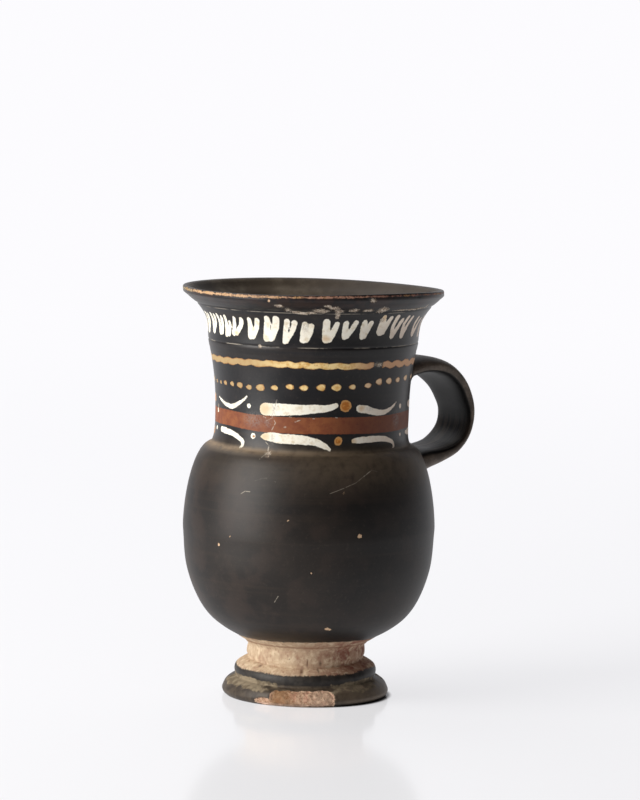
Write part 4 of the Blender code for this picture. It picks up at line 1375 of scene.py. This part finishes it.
def surface_bump(tree, place, grain):
    """The clay's fine unevenness: wheel lines and grain in the slip, more on bare clay and broken edges."""
    wheel = clouds(tree, stretched(tree, (0.01, 0.01, 1.4)), 1.0, 3.0)
    bare = step(tree, read(tree, "bare_depth"), -0.2, 0.3)
    broken = step(tree, read(tree, "chip_depth"), -0.2, 0.3)
    streaks = clouds(tree, stretched(tree, (1.0, 1.0, 0.2)), 1.6, 5.0, 0.7)
    height = maths(tree, "ADD", maths(tree, "MULTIPLY", wheel, 0.10), maths(tree, "MULTIPLY", grain, 0.10))
    height = mix(tree, bare, height, maths(tree, "MULTIPLY", streaks, 0.35))
    height = mix(tree, broken, height, maths(tree, "MULTIPLY", grain, 2.0))
    inputs = {"Height": height, "Strength": 0.5, "Distance": 0.3 * MM}
    return add(tree, "ShaderNodeBump", inputs).outputs["Normal"]


# --- Table, light and camera ---------------------------------------------------------------------


def table():
    """A pale, slightly glossy table that fades into white far from the pot, with a painted contact shadow round the
    foot.
    """
    mesh = bpy.data.meshes.new("table")
    half = 6.0
    mesh.from_pydata([(-half, -half, 0.0), (half, -half, 0.0), (half, half, 0.0), (-half, half, 0.0)], [], [(0, 1, 2, 3)])
    item = bpy.data.objects.new("table", mesh)
    bpy.context.scene.collection.objects.link(item)
    material = bpy.data.materials.new("pale_table")
    material.use_nodes = True
    tree = material.node_tree
    near = tree.nodes["Principled BSDF"]
    near.inputs["Base Color"].default_value = (0.30, 0.30, 0.305, 1.0)
    near.inputs["Roughness"].default_value = 0.12
    near.inputs["IOR"].default_value = 1.12
    near.inputs["Emission Color"].default_value = (0.985, 0.98, 1.0, 1.0)
    place = add(tree, "ShaderNodeTexCoord").outputs["Object"]
    inputs = {0: place, 1: tuple(VIEW_DEPTH)}
    depth = add(tree, "ShaderNodeVectorMath", inputs, operation="DOT_PRODUCT").outputs["Value"]
    mirrored = remap(tree, step(tree, depth, -0.34, -0.19), 0.0, 1.0, FRONT_GLOW, 1.0)
    lit = mix(tree, add(tree, "ShaderNodeLightPath").outputs["Is Camera Ray"], mirrored, 1.0)
    far = add(tree, "ShaderNodeEmission", {"Color": BACKDROP, "Strength": lit})
    # The glow dims in a ring round the foot, a little to its right: a painted contact shadow
    foot = Vector((AXIS, 0.0, 0.0)) + VIEW_RIGHT * CONTACT_SHIFT
    inputs = {0: place, 1: tuple(foot)}
    gap = add(tree, "ShaderNodeVectorMath", inputs, operation="DISTANCE").outputs["Value"]
    glow = maths(tree, "MULTIPLY", lit, step(tree, gap, *CONTACT_SHADE))
    tree.links.new(maths(tree, "MULTIPLY", glow, TABLE_GLOW), near.inputs["Emission Strength"])
    distance = add(tree, "ShaderNodeVectorMath", {0: place}, operation="LENGTH").outputs["Value"]
    both = add(tree, "ShaderNodeMixShader", {0: step(tree, distance, 0.10, 1.6), 1: near.outputs[0], 2: far.outputs[0]})
    tree.links.new(both.outputs[0], tree.nodes["Material Output"].inputs["Surface"])
    mesh.materials.append(material)
    return item


def area_light(name, side, depth, height, size_across, size_up, power, tint):
    """A soft light placed by how far it stands to the right of, behind and above the pot, facing its middle."""
    light = bpy.data.lights.new(name, "AREA")
    light.shape = "RECTANGLE"
    light.size = size_across
    light.size_y = size_up
    light.energy = power
    light.color = tint
    item = bpy.data.objects.new(name, light)
    bpy.context.scene.collection.objects.link(item)
    item.location = Vector((AXIS, 0.0, height)) + VIEW_RIGHT * side + VIEW_DEPTH * depth
    target = Vector((AXIS, 0.0, 0.07))
    item.rotation_euler = (target - item.location).to_track_quat("-Z", "Y").to_euler()
    return item


def world_light():
    """Near-white surroundings as the camera sees them, a bright back and a dark front as the pot reflects them."""
    world = bpy.data.worlds.new("studio")
    bpy.context.scene.world = world
    world.use_nodes = True
    tree = world.node_tree
    background = tree.nodes["Background"]
    direction = add(tree, "ShaderNodeTexCoord").outputs["Generated"]
    inputs = {0: direction, 1: tuple(VIEW_DEPTH)}
    back = add(tree, "ShaderNodeVectorMath", inputs, operation="DOT_PRODUCT").outputs["Value"]
    lit = blend(tree, step(tree, back, 0.30, 1.0), (0.03, 0.03, 0.033, 1.0), (0.75, 0.75, 0.78, 1.0))
    seen = add(tree, "ShaderNodeLightPath").outputs["Is Camera Ray"]
    tree.links.new(blend(tree, seen, lit, BACKDROP), background.inputs["Color"])


def camera():
    """The photograph's point of view."""
    data = bpy.data.cameras.new("camera")
    data.sensor_fit = "VERTICAL"
    data.sensor_height = CAMERA_SENSOR
    data.lens = CAMERA_LENS
    data.clip_end = 50.0
    item = bpy.data.objects.new("camera", data)
    bpy.context.scene.collection.objects.link(item)
    ahead = VIEW_DEPTH * math.cos(CAMERA_PITCH) - Vector((0.0, 0.0, math.sin(CAMERA_PITCH)))
    up = VIEW_RIGHT.cross(ahead)
    right = VIEW_RIGHT * math.cos(CAMERA_ROLL) + up * math.sin(CAMERA_ROLL)
    up = up * math.cos(CAMERA_ROLL) - VIEW_RIGHT * math.sin(CAMERA_ROLL)
    place = Vector((AXIS, 0.0, CAMERA_HEIGHT)) + VIEW_RIGHT * CAMERA_SIDE - VIEW_DEPTH * CAMERA_DISTANCE
    turn = Matrix((right, up, -ahead)).transposed().to_4x4()
    item.matrix_world = Matrix.Translation(place) @ turn
    bpy.context.scene.camera = item
    return item


def studio():
    """Table, lights and surroundings."""
    table()
    area_light("left_softbox", -0.80, -0.42, 0.37, 0.70, 0.90, 14.2, (1.0, 0.985, 0.96))
    area_light("top_softbox", -0.35, 0.35, 0.95, 0.7, 0.7, 3.0, (1.0, 1.0, 1.0))
    world_light()
    bpy.context.scene.view_settings.view_transform = "Standard"
    bpy.context.scene.view_settings.look = "None"


def main():
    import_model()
    camera()
    piece = clay_object()
    mark_surface(piece.data)
    piece.data.materials.clear()
    piece.data.materials.append(painted_clay())
    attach(piece, "root")
    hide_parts("olpe")
    studio()


main()
